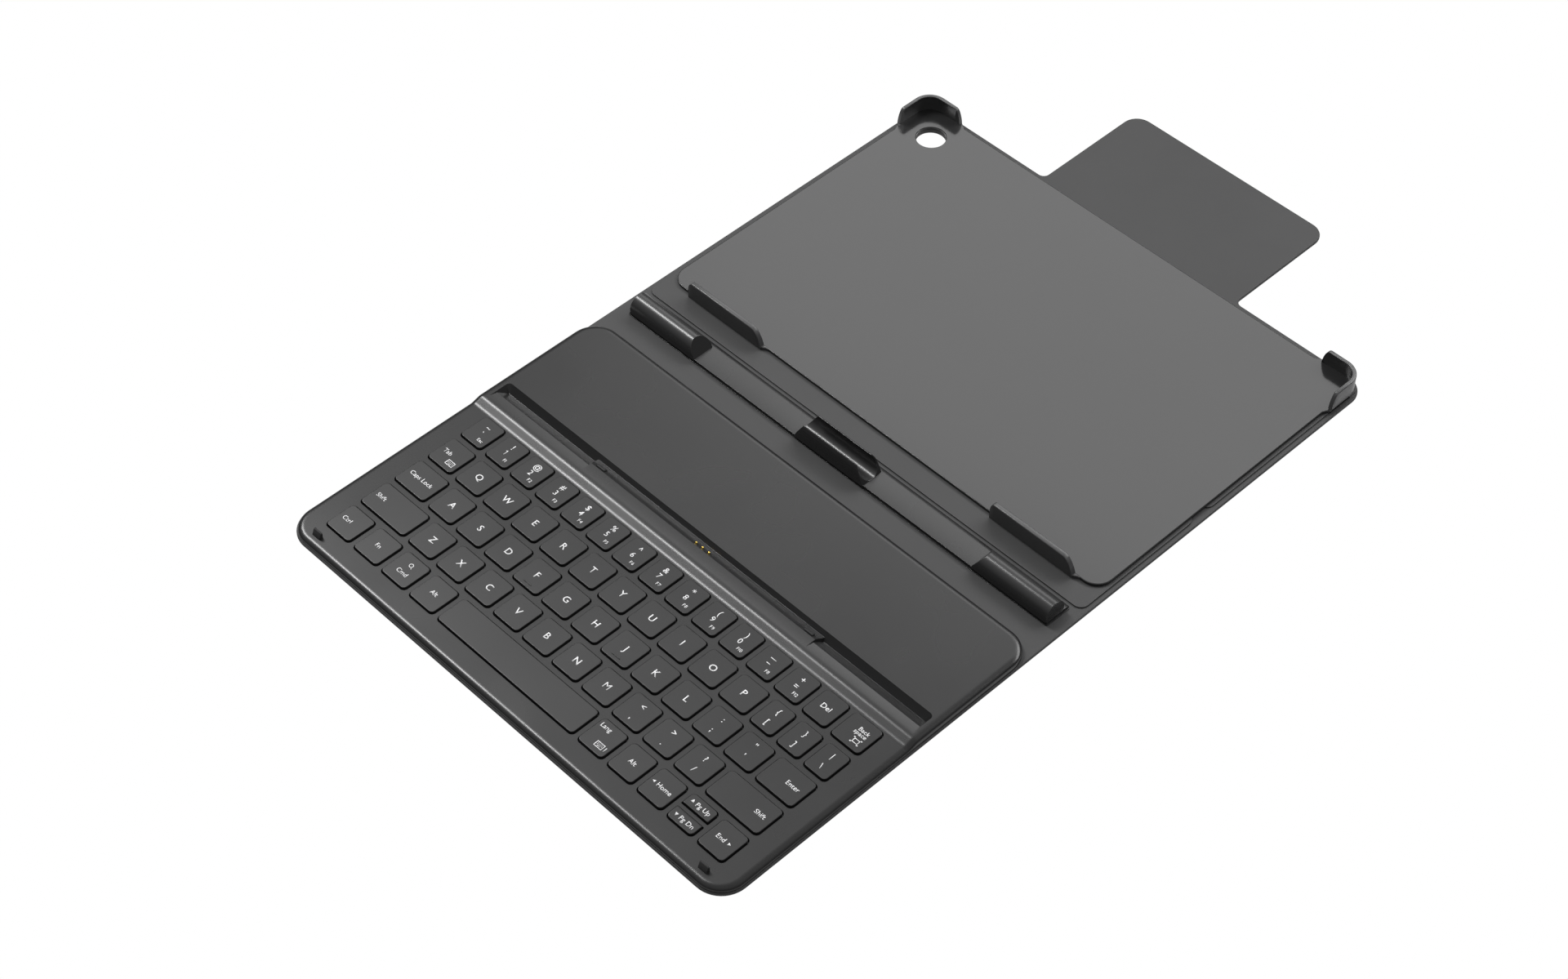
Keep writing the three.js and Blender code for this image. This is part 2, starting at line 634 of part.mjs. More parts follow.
function grooveCutters() {
  const over = 1;
  const wallRun = (GROOVE_REAR_Y - POCKET_LOW_Y) / (REAR_Z - POCKET_LOW_Z);
  const pocketFall = (REAR_Z - POCKET_LOW_Z) / (POCKET_LOW_Y - POCKET_FRONT_Y);
  const shallowFall = (REAR_Z - SHALLOW_LOW_Z) / (SHALLOW_LOW_Y - SHALLOW_FRONT_Y);
  const vee = (frontY, lowY, lowZ, fall) => [
    [frontY - over / fall, REAR_Z + over],
    [lowY, lowZ],
    [GROOVE_REAR_Y + over * wallRun, REAR_Z + over],
  ];
  const pocket = vee(POCKET_FRONT_Y, POCKET_LOW_Y, POCKET_LOW_Z, pocketFall);
  const shallow = vee(SHALLOW_FRONT_Y, SHALLOW_LOW_Y, SHALLOW_LOW_Z, shallowFall);
  return [
    bar(pocket, -GROOVE_HALF_W, -POCKET_INNER_X),
    bar(pocket, POCKET_INNER_X, GROOVE_HALF_W),
    bar(shallow, -POCKET_INNER_X - 1, POCKET_INNER_X + 1),
  ];
}

// Small raised tabs that centre the docked tray.
function dockTab(side) {
  const [width, depth, height] = TAB_SIZE;
  const root = 0.5;
  const y = SHALLOW_FRONT_Y + depth / 2 + 0.3;
  const tab = boxAbout(0, 0, -root, [width, depth, root + height]).rotateX(-DOCK_LEAN);
  return tab.translate(side * TAB_X, y, shallowHeight(y));
}

function shallowHeight(y) {
  return REAR_Z - (y - SHALLOW_FRONT_Y) * Math.tan(DOCK_LEAN);
}

function topShell() {
  const halfWidth = HALF_W - SHELL_INSET;
  const plan = [-halfWidth, SHELL_INSET, halfWidth, SHELL_REAR_Y, SHELL_R];
  const low = rolledSlab(...plan, SHELL_Z0, DECK_Z, SHELL_ROUND);
  const high = cut(rolledSlab(...plan, SHELL_Z0, REAR_Z, SHELL_ROUND), aboveTheDeck());
  const shell = cut(join(low, high), ...grooveCutters());
  const pinHoles = pinPlaces().map((x) => tiltedPin(x, PIN_R + PIN_CLEARANCE, -PIN_LENGTH, 1));
  const openings = keyRows.flat().map(keyOpening);
  const hollow = cut(shell, ...roomsUnderTheDeck(), ...pinHoles, ...openings);
  return join(hollow, dockTab(-1), dockTab(1));
}

// Rooms for the layers under the keys, the board, the contact block, the cables and the front magnets.
function roomsUnderTheDeck() {
  const widened = ([low, high], gap) => [low - gap, high + gap];
  const blockX = [-BLOCK_HALF_W, BLOCK_HALF_W];
  const cableGap = 0.5;
  const ribbonGap = 1;
  return [
    block([-KEY_ROOM_HALF_W, KEY_ROOM_HALF_W], KEY_ROOM_Y, [0, PLATE_Z0]),
    block([-BOARD_ROOM_HALF_W, BOARD_ROOM_HALF_W], BOARD_ROOM_Y, [0, REAR_Z - ROOF_T]),
    block(widened(blockX, BLOCK_ROOM_GAP), widened(BLOCK_Y, BLOCK_ROOM_GAP), [0, BLOCK_Z[1] + 0.05]),
    block(widened(POGO_CABLE_X, cableGap), [BLOCK_Y[1], BOARD_ROOM_Y[0] + 1], [0, CABLE_SLOT_TOP_Z]),
    block(widened(RIBBON_X, ribbonGap), [KEY_ROOM_Y[1] - 1, BOARD_ROOM_Y[0] + 1], [0, CABLE_SLOT_TOP_Z]),
    ...LEFT_AND_RIGHT.map((side) => boxAbout(side * MAGNET_X, BASE_MAGNET_Y, 0, MAGNET_ROOM_SIZE)),
  ];
}

function pinPlaces() {
  return Array.from({ length: PIN_COUNT }, (_, i) => (i - (PIN_COUNT - 1) / 2) * PIN_PITCH);
}

// A round pin square to the shallow slope; heights are measured along it from the slope.
function tiltedPin(x, radius, low, high) {
  const pin = disc(0, 0, radius, low, high, 10).rotateX(-DOCK_LEAN);
  return pin.translate(x, PIN_Y, shallowHeight(PIN_Y));
}

function pogoBlock() {
  const bores = pinPlaces().map((x) => tiltedPin(x, PIN_R + PIN_CLEARANCE, -2 * PIN_LENGTH, 1));
  return cut(block([-BLOCK_HALF_W, BLOCK_HALF_W], BLOCK_Y, BLOCK_Z), ...bores);
}

// One of the thin layers under the keys.
function layer(heights, inset = 0) {
  const [frontY, rearY] = LAYERS_Y;
  return block([inset - LAYERS_HALF_W, LAYERS_HALF_W - inset], [frontY + inset, rearY - inset], heights);
}

// The tray-like lower shell lies in the skin's recess, a little inside its rim.
function lowerShell() {
  const rim = RECESS_RIM + 0.3;
  const shape = roundedRect(-HALF_W + rim, rim, HALF_W - rim, SHELL_REAR_Y - rim, SHELL_R - rim);
  return slab(shape, ...LOWER_SHELL_LAYER);
}

function domeSheet() {
  const sheet = layer(DOME_LAYER, 1);
  const [bottom] = DOME_LAYER;
  const domes = keyRows.flat().map(({ x0, x1, y0, y1 }) => {
    const dome = new THREE.CylinderGeometry(DOME_R * 0.7, DOME_R, DOME_TOP_Z - bottom, 5);
    return dome.rotateX(Math.PI / 2).translate((x0 + x1) / 2, (y0 + y1) / 2, (bottom + DOME_TOP_Z) / 2);
  });
  return join(sheet, ...domes);
}

function controllerBoard() {
  const board = block([-46, 60], [120, 146], [BOARD_Z0, BOARD_Z0 + BOARD_T]);
  const solderedAt = BOARD_Z0 + BOARD_T - 0.1;
  const processor = boxAbout(-2, 134, solderedAt, [12, 12, 1.2]);
  const regulator = boxAbout(19, 129, solderedAt, [6, 6, 1]);
  const ribbonSocket = boxAbout(40, 123, solderedAt, [24, 4, 1.1]);
  return join(board, processor, regulator, ribbonSocket);
}

function addKeyboard() {
  addPiece('lower_shell', lowerShell(), DARK_PLASTIC);
  addPiece('top_shell', topShell(), SHELL);
  addPiece('key_support_plate', layer(SUPPORT_LAYER), STEEL);
  addPiece('switch_membrane', layer(MEMBRANE_LAYER, 0.5), FILM);
  addPiece('dome_sheet', domeSheet(), SILICONE);
  addPiece('controller_board', controllerBoard(), BOARD);
  addPiece('pogo_cable', block(POGO_CABLE_X, POGO_CABLE_Y, CABLE_Z), RIBBON);
  addPiece('keyboard_ribbon', block(RIBBON_X, RIBBON_Y, CABLE_Z), RIBBON);
  addPiece('pogo_block', pogoBlock(), DARK_PLASTIC);
  pinPlaces().forEach((x, i) => {
    addPiece(`pogo_pin_${i + 1}`, tiltedPin(x, PIN_R, PIN_PROUD - PIN_LENGTH, PIN_PROUD), GOLD);
  });
  addPair('dock_magnet', dockMagnet, MAGNET);
  addPair('base_magnet', baseMagnet, MAGNET);
  addPair('corner_post', cornerPost, RUBBER);
}

function dockMagnet(side) {
  return boxAbout(side * DOCK_MAGNET_X, DOCK_MAGNET_Y, MAGNET_Z0, DOCK_MAGNET_SIZE);
}

function baseMagnet(side) {
  return boxAbout(side * MAGNET_X, BASE_MAGNET_Y, MAGNET_Z0, MAGNET_SIZE);
}

function cornerPost(side) {
  const [width, depth] = POST_SIZE;
  const x = side * POST_X;
  const shape = roundedRect(x - width / 2, POST_Y - depth / 2, x + width / 2, POST_Y + depth / 2, 0.6);
  return slab(shape, DECK_Z + 0.02, POST_TOP_Z, 2);
}

// ---------------------------------------------------------------- assembly

addPiece('skin_keyboard', keyboardSkin(), SKIN);
addPiece('skin_spine', spineSkin(), SKIN);
addPiece('skin_back_lower', lowerBackSkin(), SKIN);
addPiece('skin_back_upper', upperBackSkin(), SKIN);
addPiece('skin_flap_bridge', flapBridge(), SKIN);
addPiece('skin_flap_tip', slab(flapTipOutline(), 0, FLAP_SKIN_T), SKIN);
addPiece('flap_lining', flapLining(), LINING);
addPair('flap_magnet', flapMagnet, MAGNET);
addPiece('lining_back_lower', lowerLining(), LINING);
addPiece('lining_back_upper', upperLining(), LINING);
addPiece('tablet_tray', tabletTray(), TRAY);
addPiece('pen_holder', penHolder(), DARK_PLASTIC);
addKeyboard();
addKeys();

export default caseGroup;
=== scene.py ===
import json
import math

import bmesh
import bpy
from mathutils import Matrix, Vector


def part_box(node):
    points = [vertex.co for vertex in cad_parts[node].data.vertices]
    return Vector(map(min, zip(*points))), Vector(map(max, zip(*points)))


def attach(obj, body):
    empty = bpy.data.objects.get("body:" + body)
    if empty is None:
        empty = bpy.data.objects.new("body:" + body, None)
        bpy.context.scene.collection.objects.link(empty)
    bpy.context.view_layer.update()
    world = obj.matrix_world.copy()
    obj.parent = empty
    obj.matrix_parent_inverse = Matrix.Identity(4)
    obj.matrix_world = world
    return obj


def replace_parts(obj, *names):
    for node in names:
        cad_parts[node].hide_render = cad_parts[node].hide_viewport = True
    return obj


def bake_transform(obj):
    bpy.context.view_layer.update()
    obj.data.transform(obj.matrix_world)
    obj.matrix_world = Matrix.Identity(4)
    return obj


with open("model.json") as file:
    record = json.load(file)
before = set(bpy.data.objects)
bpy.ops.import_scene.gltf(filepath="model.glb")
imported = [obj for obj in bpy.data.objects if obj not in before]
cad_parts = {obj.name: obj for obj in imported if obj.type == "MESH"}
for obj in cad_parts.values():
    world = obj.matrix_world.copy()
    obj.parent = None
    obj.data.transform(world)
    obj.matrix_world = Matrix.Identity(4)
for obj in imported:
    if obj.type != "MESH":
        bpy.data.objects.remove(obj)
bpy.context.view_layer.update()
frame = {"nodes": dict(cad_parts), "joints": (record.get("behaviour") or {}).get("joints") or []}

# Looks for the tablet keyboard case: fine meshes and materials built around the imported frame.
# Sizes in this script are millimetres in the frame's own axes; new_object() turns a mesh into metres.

# -------------------------------- sizes

MM = 0.001


def box(node):
    """Lowest and highest corner of a CAD node, in millimetres."""
    low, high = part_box(node)
    return low / MM, high / MM


HINGES = {j["name"]: Vector(j["pos_m"]) / MM for j in frame["joints"] if j["type"] == "hinge"}
SKIN_LOW, SKIN_HIGH = box("skin_keyboard")
FLAP_HIGH = box("skin_flap_bridge")[1]
TIP_HIGH = box("flap_lining")[1]
SHELL_LOW, SHELL_HIGH = box("top_shell")
TRAY_LOW, TRAY_HIGH = box("tablet_tray")
PEN_LOW, PEN_HIGH = box("pen_holder")
KEY_TOP_Z = box("key_space")[1].z
FRONT_Y = SKIN_LOW.y

COVER_END_Y = FRONT_Y + 371.3
FRONT_R = 12.6
COVER_R = 10
FLAP_R = 8
FLAP_FILLET_R = 3
SKIN_EDGE_R = 0.45
CAMERA_HOLE = (-107.9, FRONT_Y + 353.1, 6.9)
SHEET_HOLE_FLARE = 0.02             # how far the camera hole opens out in the skin, the linings and the tray
TRAY_HOLE_FLARE = 0.25
LINING_R = 4

DECK_Z = KEY_TOP_Z - 0.9
REAR_Z = KEY_TOP_Z + 0.5
DECK_R = 12
DECK_ROLL = (2.8, 1.7)              # how far the rolled edge reaches in, and how far down
RAMP = (FRONT_Y + 96.9, FRONT_Y + 103.1)
RAMP_FILLET = 1.95                  # length of the curve at the foot and at the top of the ramp
PLATE_Z0 = 3.05
KEY_R = 1.8
SQUARE_KEY_R = 0.35
KEY_CLEARANCE = 0.45
KEY_EDGE_R = 0.22

GROOVE_REAR_Y = FRONT_Y + 115.5
GROOVE_HALF_W = 122.4
POCKET_INNER_X = 64.6
SHALLOW_FRONT_Y = FRONT_Y + 109.3
SHALLOW_KNEE = (SHALLOW_FRONT_Y + 1.2, 4.62)
SHALLOW_LOW = (FRONT_Y + 113.8, 3.2)
SHALLOW_BOTTOM_R = 0.22
POCKET_FRONT_Y = FRONT_Y + 104.2
POCKET_KNEE = (FRONT_Y + 108.2, 4.55)
POCKET_LOW = (FRONT_Y + 112.75, 2.0)
POCKET_BOTTOM_R = 0.25
POCKET_CORNER_R = 1.9
POCKET_CORNER_GAIN = 1.35           # the cutter is taller than the deck, so its top is rounded further

PEN_Y = FRONT_Y + 186
STRIP_TOP_Z = 3.1
RIDGE_R = 5.4
RIDGE_TOP_Z = 9.9
RIDGE_INNER_X = 79.6
RIDGE_LEAN = 5.4
CLIP_HALF_W = 20
CLIP_TOP_Z = 11
CLIP_LEAN = 4.7
CHANNEL = (4.84, 8.0)               # radius of the pen channel and the height of its middle

TRAY_TOP_Z = 3.4
TRAY_SIDE_X = 123.4
TRAY_FRONT_Y = FRONT_Y + 207.1
TRAY_REAR_Y = FRONT_Y + 367.9
RAIL_FRONT_Y = TRAY_LOW.y
RAIL_STARTS = (-110, 66.5)
RAIL_LENGTH = 44.5
RAIL_TOP_Z = 11.0
RAIL_LIP = 0.9
RAIL_END_L, RAIL_END_R = 2.2, 5.5   # how far each end's curve down reaches along the rail
RAIL_END_SHARE = 0.45               # its left end stays this high
HOOK_LENGTH = 20.8
HOOK_R = 9
HOOK_LIP = 0.45
HOOK_END = 3.2
HOOK_END_SHARE = 0.14
WALL_T = 1.4

ARC_STEPS = 12


# -------------------------------- meshes

def add_object(name, data):
    obj = bpy.data.objects.new(name, data)
    bpy.context.scene.collection.objects.link(obj)
    return obj


def new_object(name, bm, smooth_angle=32):
    """Makes an object from a bmesh in millimetres, with outward faces and smooth shading below an angle."""
    bmesh.ops.recalc_face_normals(bm, faces=bm.faces)
    for vert in bm.verts:
        vert.co *= MM
    mesh = bpy.data.meshes.new(name)
    bm.to_mesh(mesh)
    bm.free()
    obj = add_object(name, mesh)
    shade(obj, smooth_angle)
    return obj


def shade(obj, smooth_angle=32):
    obj.data.polygons.foreach_set("use_smooth", [True] * len(obj.data.polygons))
    obj.data.set_sharp_from_angle(angle=math.radians(smooth_angle))


def dress(obj, material, body=None):
    """Gives an object its material and the body it rides on."""
    obj.data.materials.clear()
    obj.data.materials.append(material)
    if body:
        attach(obj, body)
    return obj


def join_rings(bm, loops):
    """Faces between each ring of points and the next."""
    for lower, upper in zip(loops, loops[1:]):
        for i in range(len(lower)):
            j = (i + 1) % len(lower)
            bm.faces.new((lower[i], lower[j], upper[j], upper[i]))


def add_loft(bm, rings, closed=False):
    """Joins rings of equal length. Closed joins the last ring to the first; else both ends are capped."""
    loops = [[bm.verts.new(point) for point in ring] for ring in rings]
    if closed:
        join_rings(bm, [*loops, loops[0]])
    else:
        join_rings(bm, loops)
        bm.faces.new(reversed(loops[0]))
        bm.faces.new(loops[-1])


def loft(name, rings, smooth_angle=32):
    bm = bmesh.new()
    add_loft(bm, rings)
    return new_object(name, bm, smooth_angle)


def arc(cx, cy, radius, start, end, steps=ARC_STEPS):
    """Outline points on an arc, with outward directions. Degrees; a clockwise arc is a hollow corner."""
    outward = 1 if end > start else -1
    points = []
    for i in range(steps + 1):
        angle = math.radians(start + (end - start) * i / steps)
        c, s = math.cos(angle), math.sin(angle)
        points.append((cx + radius * c, cy + radius * s, outward * c, outward * s))
    return points


def curve(*terms):
    """An arc's points without their directions."""
    return [(x, y) for x, y, _, _ in arc(*terms)]


def rounded_rect(x0, y0, x1, y1, front_r, rear_r=None, steps=ARC_STEPS):
    """Rear corners have the same radius as the front ones unless they are given their own."""
    rear_r = front_r if rear_r is None else rear_r
    return (
        arc(x0 + front_r, y0 + front_r, front_r, 180, 270, steps)
        + arc(x1 - front_r, y0 + front_r, front_r, 270, 360, steps)
        + arc(x1 - rear_r, y1 - rear_r, rear_r, 0, 90, steps)
        + arc(x0 + rear_r, y1 - rear_r, rear_r, 90, 180, steps)
    )


def edge_layers(z0, z1, bottom_r=0.0, top_r=0.0, steps=3, margin=0.2):
    """Insets and heights of a plate's edge, from its underside to its top, with rounded rims.

    A narrow flat margin inside each rim keeps the rim's shading off the wide face.
    """
    bottom = [(0, z0)]
    top = [(0, z1)]
    if bottom_r:
        bottom = [(bottom_r + margin, z0), *curve(bottom_r, z0 + bottom_r, bottom_r, 270, 180, steps)]
    if top_r:
        top = [*curve(top_r, z1 - top_r, top_r, 180, 90, steps), (top_r + margin, z1)]
    return bottom + top


def add_plate(bm, outline, layers):
    rings = [[(x - nx * inset, y - ny * inset, z) for x, y, nx, ny in outline] for inset, z in layers]
    add_loft(bm, rings)


def plate(name, outline, layers):
    bm = bmesh.new()
    add_plate(bm, outline, layers)
    return new_object(name, bm)


def add_block(bm, low, high):
    x0, y0, z0 = low
    x1, y1, z1 = high
    add_loft(bm, [[(x0, y0, z), (x1, y0, z), (x1, y1, z), (x0, y1, z)] for z in (z0, z1)])


def soften(obj, width, segments=2, angle=35):
    """Rounds the sharp edges of a simple mesh for good."""
    modifier = obj.modifiers.new("soften", "BEVEL")
    modifier.width = width * MM
    modifier.segments = segments
    modifier.limit_method = "ANGLE"
    modifier.angle_limit = math.radians(angle)
    bake(obj)
    shade(obj)
    flat_faces = obj.modifiers.new("flat faces", "WEIGHTED_NORMAL")
    flat_faces.keep_sharp = True
    bake(obj)
    return obj


def bake(obj):
    """Applies every modifier."""
    graph = bpy.context.evaluated_depsgraph_get()
    mesh = bpy.data.meshes.new_from_object(obj.evaluated_get(graph))
    obj.modifiers.clear()
    obj.data = mesh


def carve(obj, add_shape, *shape):
    """Cuts away what add_shape adds to an empty bmesh."""
    bm = bmesh.new()
    add_shape(bm, *shape)
    cutter = new_object("cutter", bm)
    modifier = obj.modifiers.new("carve", "BOOLEAN")
    modifier.operation = "DIFFERENCE"
    modifier.solver = "EXACT"
    modifier.object = cutter
    bake(obj)
    bpy.data.objects.remove(cutter)
    shade(obj)


def slice_along_y(bm, stations):
    """Cuts edges into a mesh at each station, so that it can bend there."""
    for y in stations:
        geometry = bm.verts[:] + bm.edges[:] + bm.faces[:]
        bmesh.ops.bisect_plane(bm, geom=geometry, plane_co=(0, y, 0), plane_no=(0, 1, 0))


def keep_between(bm, y0, y1):
    """Keeps the stretch of a closed mesh between two stations and closes the cuts."""
    for y, direction in ((y0, -1), (y1, 1)):
        geometry = bm.verts[:] + bm.edges[:] + bm.faces[:]
        cut = bmesh.ops.bisect_plane(bm, geom=geometry, plane_co=(0, y, 0), plane_no=(0, direction, 0),
                                     clear_outer=True)
        edges = [e for e in cut["geom_cut"] if isinstance(e, bmesh.types.BMEdge)]
        bmesh.ops.contextual_create(bm, geom=edges)


def spread(start, end, count):
    return [start + (end - start) * i / (count - 1) for i in range(count)]


# -------------------------------- materials

def new_material(name):
    """A material, its node tree and its main shader."""
    material = bpy.data.materials.new(name)
    material.use_nodes = True
    tree = material.node_tree
    return material, tree, tree.nodes["Principled BSDF"]


def feed(node, **values):
    """Links or sets a node's inputs by name; an underscore stands for a space."""
    for name, value in values.items():
        socket = node.inputs[name.replace("_", " ")]
        if isinstance(value, bpy.types.NodeSocket):
            node.id_data.links.new(value, socket)
        else:
            socket.default_value = value


def add_node(tree, kind, **values):
    node = tree.nodes.new("ShaderNode" + kind)
    feed(node, **values)
    return node


def object_coordinates(tree):
    """Object coordinates, so that a pattern stays on its piece when the piece moves."""
    return add_node(tree, "TexCoord").outputs["Object"]


def noise(tree, where, size_mm, detail):
    """Noise whose features are about size_mm across."""
    node = add_node(tree, "TexNoise", Vector=where, Scale=1 / (size_mm * MM), Detail=detail, Roughness=0.6)
    return node.outputs["Fac"]


def remap(tree, value, low, high):
    """Spreads the usual range of a noise over another range."""
    node = add_node(tree, "MapRange", Value=value, From_Min=0.3, From_Max=0.7, To_Min=low, To_Max=high)
    return node.outputs["Result"]


def tint(tree, value, dark, light):
    node = add_node(tree, "Mix")
    node.data_type = "RGBA"
    feed(node, Factor=value, A=(*dark, 1), B=(*light, 1))
    return node.outputs["Result"]


def bump(tree, height, depth_mm, strength, **under):
    """Relief, on top of another relief if one is given as Normal."""
    node = add_node(tree, "Bump", Height=height, Distance=depth_mm * MM, Strength=strength, **under)
    return node.outputs["Normal"]


DRIFT_MM = 45                       # size of the slow changes of shade on plastic
SKIN_DRIFT_MM = 60                  # and on the skin


def grey(level):
    """A grey that is very slightly blue."""
    return (level, level, level * 1.01)


def around(value, share):
    """The two ends of a small range about a value."""
    return value * (1 - share), value * (1 + share)


def moulded_plastic(name, level, roughness, texture_mm=0.25, depth_mm=0.012, specular=0.5):
    """Spark-eroded plastic: a fine even texture, with slow drifts of shade and polish from handling."""
    material, tree, shader = new_material(name)
    where = object_coordinates(tree)
    drift = noise(tree, where, DRIFT_MM, detail=2)
    fine = noise(tree, where, texture_mm, detail=3)
    colour = tint(tree, remap(tree, drift, 0, 1), *map(grey, around(level, 0.04)))
    polish = remap(tree, drift, *around(roughness, 0.06))
    relief = bump(tree, fine, depth_mm, 0.5)
    feed(shader, Base_Color=colour, Roughness=polish, Normal=relief, Specular_IOR_Level=specular)
    return material


def soft_skin(name, level, roughness, pore_mm=0.5):
    """Soft-touch polyurethane sheet: tiny rounded grains with finer pores between them."""
    material, tree, shader = new_material(name)
    where = object_coordinates(tree)
    grain = add_node(tree, "TexVoronoi")
    grain.feature = "SMOOTH_F1"
    feed(grain, Vector=where, Scale=1 / (pore_mm * MM), Smoothness=0.6)
    pores = noise(tree, where, pore_mm * 0.4, detail=2)
    drift = noise(tree, where, SKIN_DRIFT_MM, detail=3)
    colour = tint(tree, remap(tree, drift, 0, 1), *map(grey, around(level, 0.05)))
    polish = remap(tree, pores, *around(roughness, 0.05))
    grained = bump(tree, grain.outputs["Distance"], 0.02, 0.35)
    relief = bump(tree, pores, 0.01, 0.4, Normal=grained)
    feed(shader, Base_Color=colour, Roughness=polish, Normal=relief, Specular_IOR_Level=0.4)
    return material


def brushed_metal(name, colour, roughness, along=(1, 30, 30)):
    """Metal with fine lines that run along one axis."""
    material, tree, shader = new_material(name)
    stretch = add_node(tree, "Mapping", Vector=object_coordinates(tree), Scale=along)
    line_mm = 8
    lines = noise(tree, stretch.outputs["Vector"], line_mm, detail=5)
    dark = tuple(channel * 0.9 for channel in colour)
    polish = remap(tree, lines, *around(roughness, 0.2))
    feed(shader, Base_Color=tint(tree, lines, dark, colour), Roughness=polish, Metallic=1)
    feed(shader, Normal=bump(tree, lines, 0.005, 0.3))
    return material


def tinted_sheet(name, dark, light, roughness, size_mm):
    """A thin sheet or board with a printed or cast look: two close tones and a faint relief."""
    material, tree, shader = new_material(name)
    pattern = noise(tree, object_coordinates(tree), size_mm, detail=3)
    colour = tint(tree, remap(tree, pattern, 0, 1), dark, light)
    polish = remap(tree, pattern, *around(roughness, 0.1))
    feed(shader, Base_Color=colour, Roughness=polish, Normal=bump(tree, pattern, 0.01, 0.3))
    return material


SKIN = soft_skin("soft_skin", 0.050, 0.62)
LINING = soft_skin("back_lining", 0.048, 0.55, pore_mm=0.35)
DECK = moulded_plastic("deck_plastic", 0.014, 0.27, depth_mm=0.003)
KEYCAP = moulded_plastic("keycap_plastic", 0.014, 0.36, texture_mm=0.2, depth_mm=0.006, specular=0.42)
TRAY = moulded_plastic("tray_plastic", 0.026, 0.13, texture_mm=0.35, depth_mm=0.0005)
# Painted light: the rails and hooks are the tray's own plastic in a lighter copy, so that the faces the lamps
# leave dark still look lit.
TRAY_WALL_PAINTED_LIGHT = moulded_plastic("tray_wall_plastic_painted_light", 0.070, 0.30, texture_mm=0.35, depth_mm=0.002)
# Painted light: lighter than the deck plastic used for the pen strip, so that the shaded sides of the ridges,
# the clip and the tabs look less black.
HOLDER_PAINTED_LIGHT = moulded_plastic("holder_plastic_painted_light", 0.030, 0.27, texture_mm=0.3, depth_mm=0.001)
INNER = moulded_plastic("inner_plastic", 0.03, 0.5)
RUBBER = moulded_plastic("post_rubber", 0.02, 0.6, texture_mm=0.3, depth_mm=0.02)
INK = moulded_plastic("legend_ink", 0.85, 0.5, texture_mm=0.1, depth_mm=0.002)
GOLD = brushed_metal("gold_plate", (0.95, 0.68, 0.16), 0.2)
STEEL = brushed_metal("steel_sheet", (0.55, 0.56, 0.57), 0.35)
NICKEL = brushed_metal("nickel_plate", (0.60, 0.59, 0.56), 0.28, along=(8, 8, 40))
FILM = tinted_sheet("membrane_film", (0.30, 0.33, 0.30), (0.36, 0.38, 0.36), 0.35, 6)
# Painted shade: the dome sheet gets a near-black colour so that the gaps round the keys look black.
SILICONE_PAINTED_GAP_SHADE = tinted_sheet("dome_silicone_painted_gap_shade", (0.020, 0.020, 0.021), (0.028, 0.028, 0.029), 0.55, 2)
BOARD = tinted_sheet("circuit_board", (0.008, 0.075, 0.030), (0.012, 0.10, 0.045), 0.35, 1.2)
RIBBON = tinted_sheet("flex_ribbon", (0.42, 0.16, 0.03), (0.50, 0.20, 0.04), 0.3, 3)

SIDES = ("left", "right")
INNER_PIECES = [
    (INNER, ["lower_shell", "pogo_block"]),
    (STEEL, ["key_support_plate"]),
    (FILM, ["switch_membrane"]),
    (SILICONE_PAINTED_GAP_SHADE, ["dome_sheet"]),
    (BOARD, ["controller_board"]),
    (RIBBON, ["pogo_cable", "keyboard_ribbon"]),
    (NICKEL, [f"{place}_magnet_{side}" for place in ("dock", "base", "flap") for side in SIDES]),
]


def dress_inner_pieces():
    for material, nodes in INNER_PIECES:
        for node in nodes:
            dress(frame["nodes"][node], material)


# -------------------------------- the folding skin

def skin_outline():
    x1 = SKIN_HIGH.x
    x0 = -x1
    flap_x = FLAP_HIGH.x
    end_y = TIP_HIGH.y
    shoulder = COVER_END_Y
    return (
        arc(x0 + FRONT_R, FRONT_Y + FRONT_R, FRONT_R, 180, 270)
        + arc(x1 - FRONT_R, FRONT_Y + FRONT_R, FRONT_R, 270, 360)
        + arc(x1 - COVER_R, shoulder - COVER_R, COVER_R, 0, 90)
        + arc(flap_x + FLAP_FILLET_R, shoulder + FLAP_FILLET_R, FLAP_FILLET_R, 270, 180, 6)
        + arc(flap_x - FLAP_R, end_y - FLAP_R, FLAP_R, 0, 90)
        + arc(-flap_x + FLAP_R, end_y - FLAP_R, FLAP_R, 90, 180)
        + arc(-flap_x - FLAP_FILLET_R, shoulder + FLAP_FILLET_R, FLAP_FILLET_R, 0, -90, 6)
        + arc(x0 + COVER_R, shoulder - COVER_R, COVER_R, 90, 180)
    )


def add_camera_cutter(bm, z0, z1, flare):
    """A round cutter through a plate that opens out a little at both faces."""
    cx, cy, radius = CAMERA_HOLE
    wide = radius + flare + 1
    heights = ((z0 - 1, wide), (z0 + flare, radius), (z1 - flare, radius), (z1 + 1, wide))
    add_loft(bm, [[(x, y, z) for x, y in curve(cx, cy, r, 0, 360, 48)[:-1]] for z, r in heights])


# Each stretch of skin crosses one fold: the hinge, the bodies on either side, and how far the bend reaches.
FOLDS = [
    ("skin_front", "back_hinge", "keyboard_base", "spine", 2.0, ["skin_keyboard", "skin_spine"]),
    ("skin_lower_back", "cover_hinge", "spine", "lower_back", 2.0, ["skin_back_lower"]),
    ("skin_upper_back", "easel_fold", "lower_back", "upper_back", 3.0, ["skin_back_upper"]),
    ("skin_flap_root", "flap_hinge", "upper_back", "flap_bridge", 2.5, ["skin_flap_bridge"]),
    ("skin_flap_end", "flap_tip_hinge", "flap_bridge", "flap_tip", 2.5, ["skin_flap_tip", "flap_lining"]),
]


